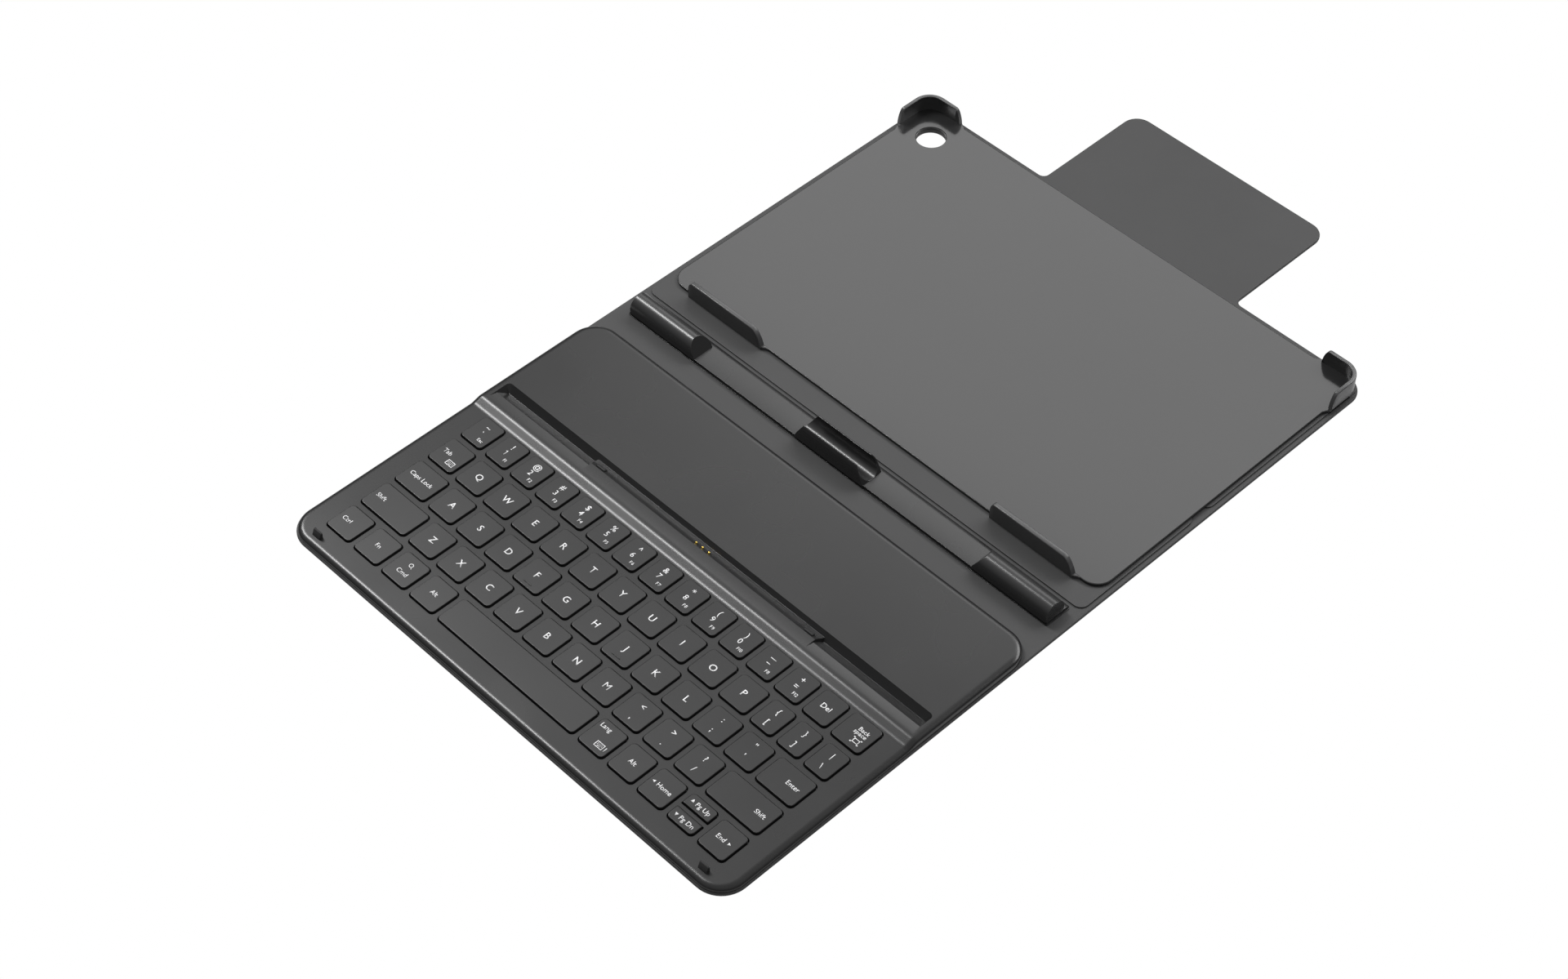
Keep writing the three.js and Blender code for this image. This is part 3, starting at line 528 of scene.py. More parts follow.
def build_skin():
    layers = edge_layers(0, SKIN_HIGH.z, SKIN_EDGE_R, SKIN_EDGE_R)
    whole = plate("whole_skin", skin_outline(), layers)
    carve(whole, add_camera_cutter, 0, SKIN_HIGH.z, SHEET_HOLE_FLARE)
    hinge_ys = [HINGES[hinge].y for _, hinge, *_ in FOLDS]
    middles = [(a + b) / 2 for a, b in zip(hinge_ys, hinge_ys[1:])]
    starts = [FRONT_Y - 1, *middles]
    ends = [*middles, TIP_HIGH.y + 1]
    for fold, y0, y1 in zip(FOLDS, starts, ends):
        name, hinge, before, after, reach, nodes = fold
        hinge_y = HINGES[hinge].y
        bm = bmesh.new()
        bm.from_mesh(whole.data)
        for vert in bm.verts:
            vert.co /= MM
        keep_between(bm, y0, y1)
        slice_along_y(bm, spread(hinge_y - reach, hinge_y + reach, 13))
        bmesh.ops.triangulate(bm, faces=[f for f in bm.faces if len(f.verts) > 4])
        piece = dress(new_object(name, bm), SKIN)
        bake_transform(piece)
        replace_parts(piece, *nodes)
    bpy.data.objects.remove(whole)


# -------------------------------- linings and tray

def build_linings():
    """Thin boards inside the back, with a stepped rim where the sheet is pressed over them."""
    for place in ("lower", "upper"):
        node = f"lining_back_{place}"
        low, high = box(node)
        outline = rounded_rect(low.x, low.y, high.x, high.y, LINING_R)
        piece = plate(f"lining_{place}", outline, edge_layers(low.z, TRAY_LOW.z - 0.03, 0, 0.06))
        if place == "upper":
            carve(piece, add_camera_cutter, low.z, high.z, SHEET_HOLE_FLARE)
        dress(piece, LINING, f"{place}_back")
        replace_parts(piece, node)


def tray_outline():
    """The tray's edge swings out behind each hook to carry its wall."""
    side = TRAY_SIDE_X
    outer = TRAY_HIGH.x
    hook_y = TRAY_HIGH.y - HOOK_LENGTH
    hook_x = outer - HOOK_LENGTH
    corner_y = TRAY_HIGH.y - HOOK_R
    swing = 3.5
    front_r = 8
    right = [
        *arc(side - front_r, TRAY_FRONT_Y + front_r, front_r, 270, 360),
        (side, hook_y - swing, 1, 0),
        (side + (outer - side) * 0.5, hook_y - swing * 0.45, 0.9, -0.4),
        (outer, hook_y, 1, 0),
        *arc(outer - HOOK_R, corner_y, HOOK_R, 0, 90),
        (hook_x, TRAY_HIGH.y, 0, 1),
        (hook_x - swing * 0.55, (TRAY_HIGH.y + TRAY_REAR_Y) / 2, -0.4, 0.9),
        (hook_x - swing, TRAY_REAR_Y, 0, 1),
    ]
    left = [(-x, y, -nx, ny) for x, y, nx, ny in reversed(right)]
    return right + left


def build_tray():
    layers = edge_layers(TRAY_LOW.z, TRAY_TOP_Z, 0.2, 0.3)
    tray = plate("tray_plate", tray_outline(), layers)
    carve(tray, add_camera_cutter, TRAY_LOW.z, TRAY_TOP_Z, TRAY_HOLE_FLARE)
    dress(tray, TRAY, "upper_back")
    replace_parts(tray, "tablet_tray")
    for name, start in zip(("rail_left", "rail_right"), RAIL_STARTS):
        build_rail(name, start)
    for name, side in (("hook_left", -1), ("hook_right", 1)):
        build_hook(name, side)


def wall_section(lip, z0, z1, crest_r=0.55):
    """Upright wall with a lip at its top, as (distance in from the outer face, height), counter-clockwise."""
    lip_r = crest_r * 0.7
    inner_face = [(0, z0), (WALL_T, z0), (WALL_T, z1 - 1.1), (WALL_T + lip * 0.6, z1 - 0.75)]
    inner_lip = curve(WALL_T + lip - lip_r, z1 - lip_r, lip_r, -30, 90, 4)
    crest = curve(crest_r, z1 - crest_r, crest_r, 90, 180, 4)
    return inner_face + inner_lip + crest


def end_height(distance, reach, power):
    """Share of the full height at a distance from a wall's end that curves down over its reach."""
    if distance >= reach:
        return 1.0
    return max(0.0, 1 - (1 - distance / reach) ** power) ** (1 / power)


def wall_stations(length, reach_start, reach_end):
    """Distances along a wall, close together where its ends curve down."""
    steps = 8
    shares = [1 - math.cos(math.pi / 2 * i / steps) for i in range(steps)]
    near = [reach_start * share for share in shares]
    far = [length - reach_end * share for share in shares]
    return near + [reach_start, length - reach_end] + far[::-1]


def squashed(section, share, z0):
    return [(inward, z0 + (z - z0) * share) for inward, z in section]


def build_rail(name, start):
    foot = TRAY_LOW.z
    section = wall_section(RAIL_LIP, foot, RAIL_TOP_Z)
    shortest = (TRAY_TOP_Z - foot) / (RAIL_TOP_Z - foot)
    rings = []
    for d in wall_stations(RAIL_LENGTH, RAIL_END_L, RAIL_END_R):
        left_share = RAIL_END_SHARE + (1 - RAIL_END_SHARE) * end_height(d, RAIL_END_L, 2)
        share = min(left_share, end_height(RAIL_LENGTH - d, RAIL_END_R, 1.6))
        shaped = squashed(section, max(share, shortest), foot)
        rings.append([(start + d, RAIL_FRONT_Y + inward, z) for inward, z in shaped])
    bm = bmesh.new()
    add_loft(bm, rings)
    end = start + RAIL_LENGTH
    step = TRAY_FRONT_Y - RAIL_FRONT_Y
    ledge = [
        (start + 0.05, RAIL_FRONT_Y + 0.3, 0, -1),
        (end - 0.3, RAIL_FRONT_Y + 0.3, 0, -1),
        (end + 0.5, RAIL_FRONT_Y + step * 0.35, 0.5, -0.85),
        (end + 1.6, RAIL_FRONT_Y + step * 0.8, 0.4, -0.9),
        (end + 2.8, RAIL_FRONT_Y + step, 0.1, -1),
        (end + 2.8, TRAY_FRONT_Y + 1, 1, 0),
        (start + 0.05, TRAY_FRONT_Y + 1, -1, 0),
    ]
    add_plate(bm, ledge, edge_layers(foot + 0.02, TRAY_TOP_Z - 0.02, 0, 0.25))
    dress(new_object(name, bm, 40), TRAY_WALL_PAINTED_LIGHT, "upper_back")


def build_hook(name, side):
    outer_x = TRAY_HIGH.x
    rear_y = TRAY_HIGH.y
    foot = TRAY_LOW.z
    section = wall_section(HOOK_LIP, foot, TRAY_HIGH.z)
    straight = HOOK_LENGTH - HOOK_R
    bend = HOOK_R * math.pi / 2
    length = 2 * straight + bend
    stations = wall_stations(length, HOOK_END, HOOK_END) + spread(straight, straight + bend, 15)
    rings = []
    for d in sorted(set(stations)):
        share = min(end_height(d, HOOK_END, 1.8), end_height(length - d, HOOK_END, 1.8))
        shaped = squashed(section, max(share, HOOK_END_SHARE), foot)
        if d <= straight:
            base, inward = (outer_x, rear_y - HOOK_LENGTH + d), (-1, 0)
        elif d <= straight + bend:
            angle = (d - straight) / HOOK_R
            inward = (-math.cos(angle), -math.sin(angle))
            base = (outer_x - HOOK_R - HOOK_R * inward[0], rear_y - HOOK_R - HOOK_R * inward[1])
        else:
            base, inward = (outer_x - HOOK_R - (d - straight - bend), rear_y), (0, -1)
        rings.append([(side * (base[0] + inward[0] * n), base[1] + inward[1] * n, z) for n, z in shaped])
    dress(loft(name, rings, 40), TRAY_WALL_PAINTED_LIGHT, "upper_back")


# -------------------------------- pen holder

def half_round(radius, top_z, base_z, steps=28):
    """Cross-section of a ridge with upright sides and a round top, as (y, z)."""
    top = curve(PEN_Y, top_z - radius, radius, 0, 180, steps)
    return [(PEN_Y - radius, base_z), (PEN_Y + radius, base_z), *top]


def clip_section(base_z):
    """The clip is a channel with thin lips: one outside, its tip, the channel, and the other tip and side."""
    channel_r, channel_z = CHANNEL
    tip_angle = math.asin((CLIP_TOP_Z - channel_z) / channel_r)
    tip_y = PEN_Y + channel_r * math.cos(tip_angle)
    outer_y = PEN_Y + RIDGE_R + 0.2
    right = [
        (outer_y, base_z),
        (outer_y, channel_z - 1.5),
        (outer_y - 0.25, channel_z + 1.2),
        (tip_y + 0.75, CLIP_TOP_Z - 0.35),
        (tip_y + 0.35, CLIP_TOP_Z),
    ]
    tip_degrees = math.degrees(tip_angle)
    channel = curve(PEN_Y, channel_z, channel_r, tip_degrees, -180 - tip_degrees, 24)
    left = [(2 * PEN_Y - y, z) for y, z in reversed(right)]
    return right + channel + left


def leaning_bar(name, section, x0, x1, lean0, lean1):
    """A bar along X whose ends lean in by lean0 and lean1 over the height above the strip."""
    height = CLIP_TOP_Z - STRIP_TOP_Z
    rings = []
    for x, lean in ((x0, lean0), (x1, -lean1)):
        rings.append([(x + lean * max(0, z - STRIP_TOP_Z) / height, y, z) for y, z in section])
    return soften(loft(name, rings), 0.12)


def build_pen_holder():
    base = PEN_LOW.z
    half = PEN_HIGH.x
    front, rear = PEN_LOW.y, PEN_HIGH.y
    wall = front + 0.6
    section = [
        (wall, base), (rear, base), (rear, base + 0.45), (PEN_Y + RIDGE_R, STRIP_TOP_Z), (wall, STRIP_TOP_Z),
    ]
    strip = soften(loft("pen_strip", [[(x, y, z) for y, z in section] for x in (-half, half)]), 0.08)
    dress(strip, DECK, "spine")
    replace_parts(strip, "pen_holder")
    flange_r = 1.2
    flange = plate("pen_flange", rounded_rect(-half - 0.6, front, half + 0.6, rear + 0.1, flange_r),
                   edge_layers(base - 0.03, base + 0.2, 0, 0.08))
    dress(flange, DECK, "spine")
    sunk_z = STRIP_TOP_Z - 0.6
    ridge = half_round(RIDGE_R, RIDGE_TOP_Z, sunk_z)
    clip = clip_section(sunk_z)
    outer = half - 0.5
    for name, shape, x0, x1, lean0, lean1 in (
        ("pen_ridge_left", ridge, -outer, -RIDGE_INNER_X, 0, RIDGE_LEAN),
        ("pen_ridge_right", ridge, RIDGE_INNER_X, outer, RIDGE_LEAN, 0),
        ("pen_clip", clip, -CLIP_HALF_W, CLIP_HALF_W, CLIP_LEAN, CLIP_LEAN),
    ):
        dress(leaning_bar(name, shape, x0, x1, lean0, lean1), HOLDER_PAINTED_LIGHT, "spine")


# -------------------------------- keys

def caps_of(node):
    """The plan box of every key cap in a node, from left to right: (x0, y0, x1, y1)."""
    mesh = frame["nodes"][node].data
    level, touching = 0.01, 0.1
    spans = []
    for polygon in mesh.polygons:
        corners = [mesh.vertices[i].co / MM for i in polygon.vertices]
        if min(corner.z for corner in corners) > KEY_TOP_Z - level:
            xs = [corner.x for corner in corners]
            spans.append((min(xs), max(xs)))
    merged = []
    for x0, x1 in sorted(spans):
        if merged and x0 < merged[-1][1] + touching:
            merged[-1][1] = max(merged[-1][1], x1)
        else:
            merged.append([x0, x1])
    low, high = box(node)
    return [(x0, low.y, x1, high.y) for x0, x1 in merged]


KEY_NODES = sorted(node for node in frame["nodes"] if node.startswith("key_") and node != "key_support_plate")
CAPS = {node: caps_of(node) for node in KEY_NODES}
SKIRT_Z = box("key_space")[0].z
HOMING_KEYS = {"key_bank_home": (3, 6)}      # places of the F and J keys in their bank


def cap_outline(node, cap, grow=0.0):
    """A rounded key; the two half-height keys are square where they face each other."""
    x0, y0, x1, y1 = cap
    x0, y0, x1, y1 = x0 - grow, y0 - grow, x1 + grow, y1 + grow
    front = SQUARE_KEY_R if node == "key_page_up" else KEY_R + grow / 2
    rear = SQUARE_KEY_R if node == "key_page_down" else KEY_R + grow / 2
    return rounded_rect(x0, y0, x1, y1, front, rear, 6)


def add_cap(bm, node, cap):
    add_plate(bm, cap_outline(node, cap), edge_layers(SKIRT_Z, KEY_TOP_Z, 0.15, KEY_EDGE_R, 4))


def add_homing_bar(bm, cap):
    x0, y0, x1, _ = cap
    middle = (x0 + x1) / 2
    half_w, depth, rise = 2.3, 0.55, 0.22
    front = y0 + 1.75
    outline = rounded_rect(middle - half_w, front, middle + half_w, front + depth, 0.25, steps=4)
    add_plate(bm, outline, edge_layers(KEY_TOP_Z - 0.1, KEY_TOP_Z + rise, 0, 0.15, margin=0.05))


def add_web(bm, caps):
    """The thin strip that joins the keys of a bank."""
    half_w, height, inset = 1.5, 0.2, 2
    web_y = (caps[0][1] + caps[0][3]) / 2
    low = (caps[0][0] + inset, web_y - half_w, SKIRT_Z)
    high = (caps[-1][2] - inset, web_y + half_w, SKIRT_Z + height)
    add_block(bm, low, high)


def build_keys():
    for node, caps in CAPS.items():
        bm = bmesh.new()
        for cap in caps:
            add_cap(bm, node, cap)
        for place_in_bank in HOMING_KEYS.get(node, ()):
            add_homing_bar(bm, caps[place_in_bank])
        if len(caps) > 1:
            add_web(bm, caps)
        piece = dress(new_object(node.replace("key_", "cap_"), bm, 40), KEYCAP, node)
        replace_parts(piece, node)


# -------------------------------- legends

LETTER = 3.05                       # heights of capitals
WORD = 2.05
NUMBER = 2.65
SMALL = 1.55
HALF_INK_T = 0.025                  # the key's top face is at the middle of the ink's thickness
INK_LEVELS = (KEY_TOP_Z - HALF_INK_T, KEY_TOP_Z + HALF_INK_T)
INK_SPREAD = 0.010                  # how much the type is thickened, for a height of 1
THIN_LETTERS = "M"                  # drawn as they are, because their strokes would fill in
TEXT_WIDTH = 1.02
FIGURE_GAP = 0.1
LINE_T = 0.32


def glyphs(text):
    """A flat, closed mesh of a line of text, as points and faces."""
    type_curve = bpy.data.curves.new("glyphs", "FONT")
    type_curve.body = text
    type_curve.size = 1
    type_curve.resolution_u = 3
    type_curve.offset = 0 if text in THIN_LETTERS else INK_SPREAD
    type_curve.extrude = 0.5
    holder = add_object("glyphs", type_curve)
    graph = bpy.context.evaluated_depsgraph_get()
    mesh = bpy.data.meshes.new_from_object(holder.evaluated_get(graph))
    bpy.data.objects.remove(holder)
    bm = bmesh.new()
    bm.from_mesh(mesh)
    bmesh.ops.remove_doubles(bm, verts=bm.verts, dist=1e-5)
    points = [vert.co.copy() for vert in bm.verts]
    bm.verts.index_update()
    faces = [[vert.index for vert in face.verts] for face in bm.faces]
    bm.free()
    bpy.data.meshes.remove(mesh)
    return points, faces


CAPITAL_HEIGHT = max(point.y for point in glyphs("H")[0])


def full_height_glyphs(text):
    """Like glyphs, but each character is set on its own and stands as high as a capital."""
    points, faces, cursor = [], [], 0
    for character in text:
        shape, sides = glyphs(character)
        low = min(point.y for point in shape)
        left = min(point.x for point in shape)
        scale = CAPITAL_HEIGHT / (max(point.y for point in shape) - low)
        faces += [[i + len(points) for i in side] for side in sides]
        points += [Vector((cursor + (p.x - left) * scale, (p.y - low) * scale, p.z)) for p in shape]
        cursor = max(point.x for point in points) + FIGURE_GAP
    return points, faces


def add_text(bm, text, x, y, height, align):
    """Adds a line of text whose capitals are centred on y; align 0 starts it at x, 1 ends it there."""
    points, faces = full_height_glyphs(text) if text[-1].isdigit() else glyphs(text)
    scale = height / CAPITAL_HEIGHT
    left = min(point.x for point in points)
    width = max(point.x for point in points) - left
    verts = []
    for point in points:
        px = x + (point.x - left - width * align) * scale * TEXT_WIDTH
        py = y + point.y * scale - height / 2
        verts.append(bm.verts.new((px, py, KEY_TOP_Z + point.z * 2 * HALF_INK_T)))
    for face in faces:
        bm.faces.new([verts[i] for i in face])


def add_ink(bm, outline):
    """A flat inked shape."""
    add_loft(bm, [[(x, y, z) for x, y in outline] for z in INK_LEVELS])


def add_ink_ring(bm, inner, outer):
    """An inked line between two outlines."""
    low, high = INK_LEVELS
    bands = ((inner, low), (outer, low), (outer, high), (inner, high))
    add_loft(bm, [[(x, y, z) for x, y in outline] for outline, z in bands], closed=True)


def add_stroke(bm, x0, y0, x1, y1, width=LINE_T):
    """A straight inked line."""
    along = Vector((x1 - x0, y1 - y0)).normalized() * width / 2
    across = Vector((-along.y, along.x))
    start, end = Vector((x0, y0)) - along, Vector((x1, y1)) + along
    add_ink(bm, [start - across, end - across, end + across, start + across])


def add_figure_one(bm, x, y, height):
    """The figure 1 with its flag, as one shape."""
    half, top = LINE_T / 2, height / 2
    outline = [
        (-half, -top), (half, -top), (half, top), (-half, top), (-half - 0.6, top - 0.5),
        (-half - 0.5, top - 0.75), (-half, top - 0.4),
    ]
    add_ink(bm, [(x + px, y + py) for px, py in outline])


def add_dashes(bm, x, y):
    """The underscore and the hyphen."""
    add_stroke(bm, x - 1.25, y + 2.2, x + 1.25, y + 2.2)
    add_stroke(bm, x - 0.85, y - 0.6, x + 0.85, y - 0.6)


def add_frame(bm, x, y, width, depth):
    """A hollow inked rectangle about a point."""
    outlines = []
    for inset in (LINE_T, 0):
        a, b = width / 2 - inset, depth / 2 - inset
        outlines.append([(x - a, y - b), (x + a, y - b), (x + a, y + b), (x - a, y + b)])
    add_ink_ring(bm, *outlines)


def add_triangle(bm, x, y, size, turn):
    """An inked arrowhead that points along turn, in degrees."""
    corners = []
    for degrees in (0, 125, 235):
        angle = math.radians(degrees + turn)
        corners.append((x + size * math.cos(angle), y + size * math.sin(angle)))
    add_ink(bm, corners)


def add_keyboard_icon(bm, x, y):
    """A tiny keyboard: a frame with two rows of dots and a bar."""
    add_frame(bm, x, y, 4.2, 2.7)
    for row in (0.45, -0.1):
        for column in (-1.1, -0.35, 0.4, 1.15):
            add_stroke(bm, x + column - 0.08, y + row, x + column + 0.08, y + row, 0.26)
    add_stroke(bm, x - 0.7, y - 0.65, x + 0.7, y - 0.65, 0.24)


def add_magnifier(bm, x, y):
    ring = arc(x, y + 0.1, 1.05, 0, 360, 24)[:-1]
    inner = [(px - nx * LINE_T, py - ny * LINE_T) for px, py, nx, ny in ring]
    add_ink_ring(bm, inner, [(px, py) for px, py, _, _ in ring])
    add_stroke(bm, x + 0.78, y - 0.72, x + 1.25, y - 1.2)


def add_window_icon(bm, x, y):
    """A small window with a handle at each corner."""
    add_frame(bm, x, y, 2.9, 2.1)
    for sx in (-1, 1):
        for sy in (-1, 1):
            add_stroke(bm, x + sx * 1.75 - 0.1, y + sy * 1.3, x + sx * 1.75 + 0.1, y + sy * 1.3, 0.55)


def add_bar(bm, x, y):
    """A short upright line."""
    add_stroke(bm, x, y - 0.9, x, y + 0.9)


# A mark is text or a function that draws a sign, then the side of the key it is measured across from, how far
# across, how far up from the key's middle, and its size. Text is also aligned by that side.
LEFT, MIDDLE, RIGHT = 0, 0.5, 1
SIGN_UP, DIGIT_UP, LOWER_UP, CORNER_UP = 3.2, -0.7, -3.0, -3.9


def word(text, across=0.0, up=0.2, height=WORD):
    """Text centred on a point near the middle of its key."""
    return (text, MIDDLE, across, up, height)


def edge_word(text, side):
    """A word near the left or the right edge of a wide key."""
    return (text, side, 2.3 if side == LEFT else -2.9, 0.25, WORD)


def pair(upper, lower):
    return [word(upper, 0, SIGN_UP, NUMBER), word(lower, 0, LOWER_UP, NUMBER)]


def number_key(symbol, digit, function_key):
    return [
        word(symbol, 0, SIGN_UP, NUMBER),
        word(digit, -0.2, DIGIT_UP, NUMBER),
        word(function_key, 2.75, CORNER_UP, SMALL),
    ]


def letters(text):
    return [[word(letter, height=LETTER)] for letter in text]


DIGITS = [add_figure_one, *"234567890"]
FUNCTION_KEYS = [f"F{number}" for number in range(1, 11)]
LEGENDS = {
    "key_bank_numbers": [
        *(number_key(*signs) for signs in zip("!@#$%^&*()", DIGITS, FUNCTION_KEYS)),
        [(add_dashes, MIDDLE, 0, 0), word("F11", 2.6, CORNER_UP, SMALL)],
        [word("+", 0, SIGN_UP, NUMBER), word("=", 0, DIGIT_UP, NUMBER), word("F12", 2.6, CORNER_UP, SMALL)],
    ],
    "key_bank_upper": [*letters("QWERTYUIOP"), pair("{", "["), pair("}", "]")],
    "key_bank_home": [*letters("ASDFGHJKL"), pair(":", ";"), pair('"', "'")],
    "key_bank_lower": [*letters("ZXCVBNM"), pair("<", ","), pair(">", "."), pair("?", "/")],
    "key_ctrl": [[edge_word("Ctrl", LEFT)]],
    "key_fn": [[word("Fn")]],
    "key_cmd": [[(add_magnifier, MIDDLE, 0, 2.7), word("Cmd", up=-1.9)]],
    "key_alt_left": [[word("Alt")]],
    "key_lang": [[
        ("Lang", LEFT, 1.5, 4.2, WORD), (add_keyboard_icon, MIDDLE, 1.8, -3.4), (add_bar, MIDDLE, 4.9, -3.4),
    ]],
    "key_alt_right": [[word("Alt")]],
    "key_home": [[(add_triangle, MIDDLE, -4.5, 0.2, 0.85, 180), word("Home", 1.0)]],
    "key_page_up": [[(add_triangle, MIDDLE, -4.1, 0, 0.95, 90), word("Pg Up", 1.4, 0)]],
    "key_page_down": [[(add_triangle, MIDDLE, -4.1, 0, 0.95, 270), word("Pg Dn", 1.4, 0)]],
    "key_end": [[word("End", -1.2), (add_triangle, MIDDLE, 3.0, 0.2, 0.85, 0)]],
    "key_shift_left": [[edge_word("Shift", LEFT)]],
    "key_shift_right": [[edge_word("Shift", RIGHT)]],
    "key_caps_lock": [[edge_word("Caps Lock", LEFT)]],
    "key_enter": [[edge_word("Enter", RIGHT)]],
    "key_tab": [[edge_word("Tab", LEFT), (add_keyboard_icon, MIDDLE, 3.0, -3.4)]],
    "key_backslash": [pair("|", "\\")],
    "key_esc": [[
        word("~", 0, SIGN_UP, NUMBER), word("`", 0, DIGIT_UP, NUMBER), word("Esc", 2.7, CORNER_UP, SMALL),
    ]],
    "key_del": [[word("Del", height=NUMBER * 0.9)]],
    "key_backspace": [[
        ("Back", RIGHT, -2.8, 2.3, 1.9),
        ("space", RIGHT, -2.8, 0.35, 1.9),
        (add_window_icon, RIGHT, -4.8, -3.2),
    ]],
}


def add_mark(bm, cap, what, side, across, up, *size):
    x0, y0, x1, y1 = cap
    x = x0 + (x1 - x0) * side + across
    y = (y0 + y1) / 2 + up
    if callable(what):
        what(bm, x, y, *size)
    else:
        add_text(bm, what, x, y, *size, side)


def build_legends():
    for node, keys in LEGENDS.items():
        bm = bmesh.new()
        for cap, marks in zip(CAPS[node], keys):
            for mark in marks:
                add_mark(bm, cap, *mark)
        dress(new_object(node.replace("key_", "legend_"), bm, 180), INK, node)


# -------------------------------- keyboard deck

def deck_height(y):
    """Top of the deck: flat around the keys, a soft ramp, then flat behind it."""
    start, end = RAMP
    slope = (REAR_Z - DECK_Z) / (end - start - RAMP_FILLET)
    from_foot = min(max(0, y - start), end - start)
    from_top = end - start - from_foot
    if from_foot < RAMP_FILLET:
        return DECK_Z + slope * from_foot ** 2 / (2 * RAMP_FILLET)
    if from_top < RAMP_FILLET:
        return REAR_Z - slope * from_top ** 2 / (2 * RAMP_FILLET)
    return DECK_Z + slope * (from_foot - RAMP_FILLET / 2)


def deck_outline():
    """Right half of the deck's edge from front to back, with enough points to follow the ramp."""
    low, high = SHELL_LOW, SHELL_HIGH
    right_x = high.x
    front = arc(right_x - DECK_R, low.y + DECK_R, DECK_R, 270, 360, 20)
    ramp = [(right_x, y, 1, 0) for y in spread(RAMP[0], RAMP[1], 25)]
    rear = arc(right_x - DECK_R, high.y - DECK_R, DECK_R, 0, 90, 20)
    return front + ramp + rear


def deck_body():
    """A closed body whose top follows deck_height and whose edge is rolled over."""
    half = deck_outline()
    reach, drop = DECK_ROLL
    steps = 9
    bm = bmesh.new()
    levels = [(0, None)]
    for i in range(steps + 1):
        angle = math.pi / 2 * i / steps
        levels.append((reach * (1 - math.cos(angle)), drop * (1 - math.sin(angle))))
    levels.append((reach + 0.3, 0))
    rings = []
    for inset, below in levels:
        ring = []
        for x, y, nx, ny in half:
            z = SHELL_LOW.z if below is None else deck_height(y) - below
            ring.append((x - nx * inset, y - ny * inset, z))
        right = [bm.verts.new(point) for point in ring]
        left = [bm.verts.new((-x, y, z)) for x, y, z in reversed(ring)]
        rings.append(right + left)
    join_rings(bm, rings)
    for ring in (rings[0], rings[-1]):
        count = len(half)
        for i in range(count - 1):
            bm.faces.new((ring[i], ring[i + 1], ring[2 * count - 2 - i], ring[2 * count - 1 - i]))
    return new_object("deck", bm, 25)


def add_key_openings(bm):
    flare = 0.08
    layers = [(0, PLATE_Z0 - 1), (0, DECK_Z - flare), (-flare, DECK_Z), (-flare - 0.4, DECK_Z + 0.4)]
    for node, caps in CAPS.items():
        for cap in caps:
            add_plate(bm, cap_outline(node, cap, KEY_CLEARANCE), layers)


def groove_profile(front, knee, low, bottom_r, steps=8):
    """Groove cross-section as (y, z): down the long slope, round the bottom, and up the rear wall."""
    rear_slope = Vector((GROOVE_REAR_Y - low[0], REAR_Z - low[1])).normalized()
    front_slope = Vector((low[0] - knee[0], low[1] - knee[1])).normalized()
    entry = Vector(low) - front_slope * bottom_r
    leave = Vector(low) + rear_slope * bottom_r
    lead_in, over = 3, 1.2
    points = [(front[0] - lead_in, REAR_Z + over), front, knee]
    for i in range(steps + 1):
        t = i / steps
        point = entry * (1 - t) ** 2 + Vector(low) * 2 * t * (1 - t) + leave * t * t
        points.append(tuple(point))
    points.append((GROOVE_REAR_Y + rear_slope.x / rear_slope.y * over, REAR_Z + over))
    return points


def add_shallow_cutter(bm, profile):
    half = POCKET_INNER_X + 1.5
    add_loft(bm, [[(x, y, z) for y, z in profile] for x in (-half, half)])


def add_pocket_cutters(bm, profile):
    """Two pockets, whose ends lean in as they go down and whose outer rear corners are rounded."""
    outer_lean, inner_lean = 0.75, 0.4
    top_y, top_z = profile[-1]
    for side in (-1, 1):
        rings = [[(side * (POCKET_INNER_X + inner_lean * (REAR_Z - z)), y, z) for y, z in profile]]
        for degrees in range(0, 91, 10):
            angle = math.radians(degrees)
            x = GROOVE_HALF_W - POCKET_CORNER_R * (1 - math.sin(angle))
            back = POCKET_CORNER_R * (1 - math.cos(angle)) * POCKET_CORNER_GAIN
            section = profile[:-1] + [(top_y - back, top_z)]
            rings.append([(side * (x - outer_lean * (REAR_Z - z)), y, z) for y, z in section])
        add_loft(bm, rings)


def carve_groove(deck):
    lip_z = REAR_Z + 0.02
    pocket = groove_profile((POCKET_FRONT_Y, lip_z), POCKET_KNEE, POCKET_LOW, POCKET_BOTTOM_R)
    shallow = groove_profile((SHALLOW_FRONT_Y, lip_z), SHALLOW_KNEE, SHALLOW_LOW, SHALLOW_BOTTOM_R)
    carve(deck, add_shallow_cutter, shallow)
    carve(deck, add_pocket_cutters, pocket)


def carve_rooms(deck):
    """Room under the deck for the key layers, the board, the contacts, the cables and the magnets."""
    y = FRONT_Y
    rooms = {
        "key layers": ((-119, y + 9, 0), (119, y + 100, PLATE_Z0)),
        "board": ((-118, y + 118, 0), (118, y + 163, REAR_Z - 0.8)),
        "contact block": ((-8, y + 107.4, 0), (8, y + 112.5, 2.75)),
        "contact cable": ((-4.5, y + 112.4, 0), (4.5, y + 118.5, 1.95)),
        "ribbon": ((29, y + 99.5, 0), (51, y + 118.5, 1.95)),
        "left magnet": ((-40.5, y + 3.2, 0), (-19.5, y + 7.8, 2.7)),
        "right magnet": ((19.5, y + 3.2, 0), (40.5, y + 7.8, 2.7)),
    }
    for low, high in rooms.values():
        carve(deck, add_block, low, high)


def shallow_slope():
    """Direction down the shallow slope and the direction square to it, in Y and Z."""
    down = Vector((SHALLOW_LOW[0] - SHALLOW_FRONT_Y, SHALLOW_LOW[1] - REAR_Z)).normalized()
    return down, Vector((-down.y, down.x))


PIN_NODES = [f"pogo_pin_{number}" for number in (1, 2, 3)]


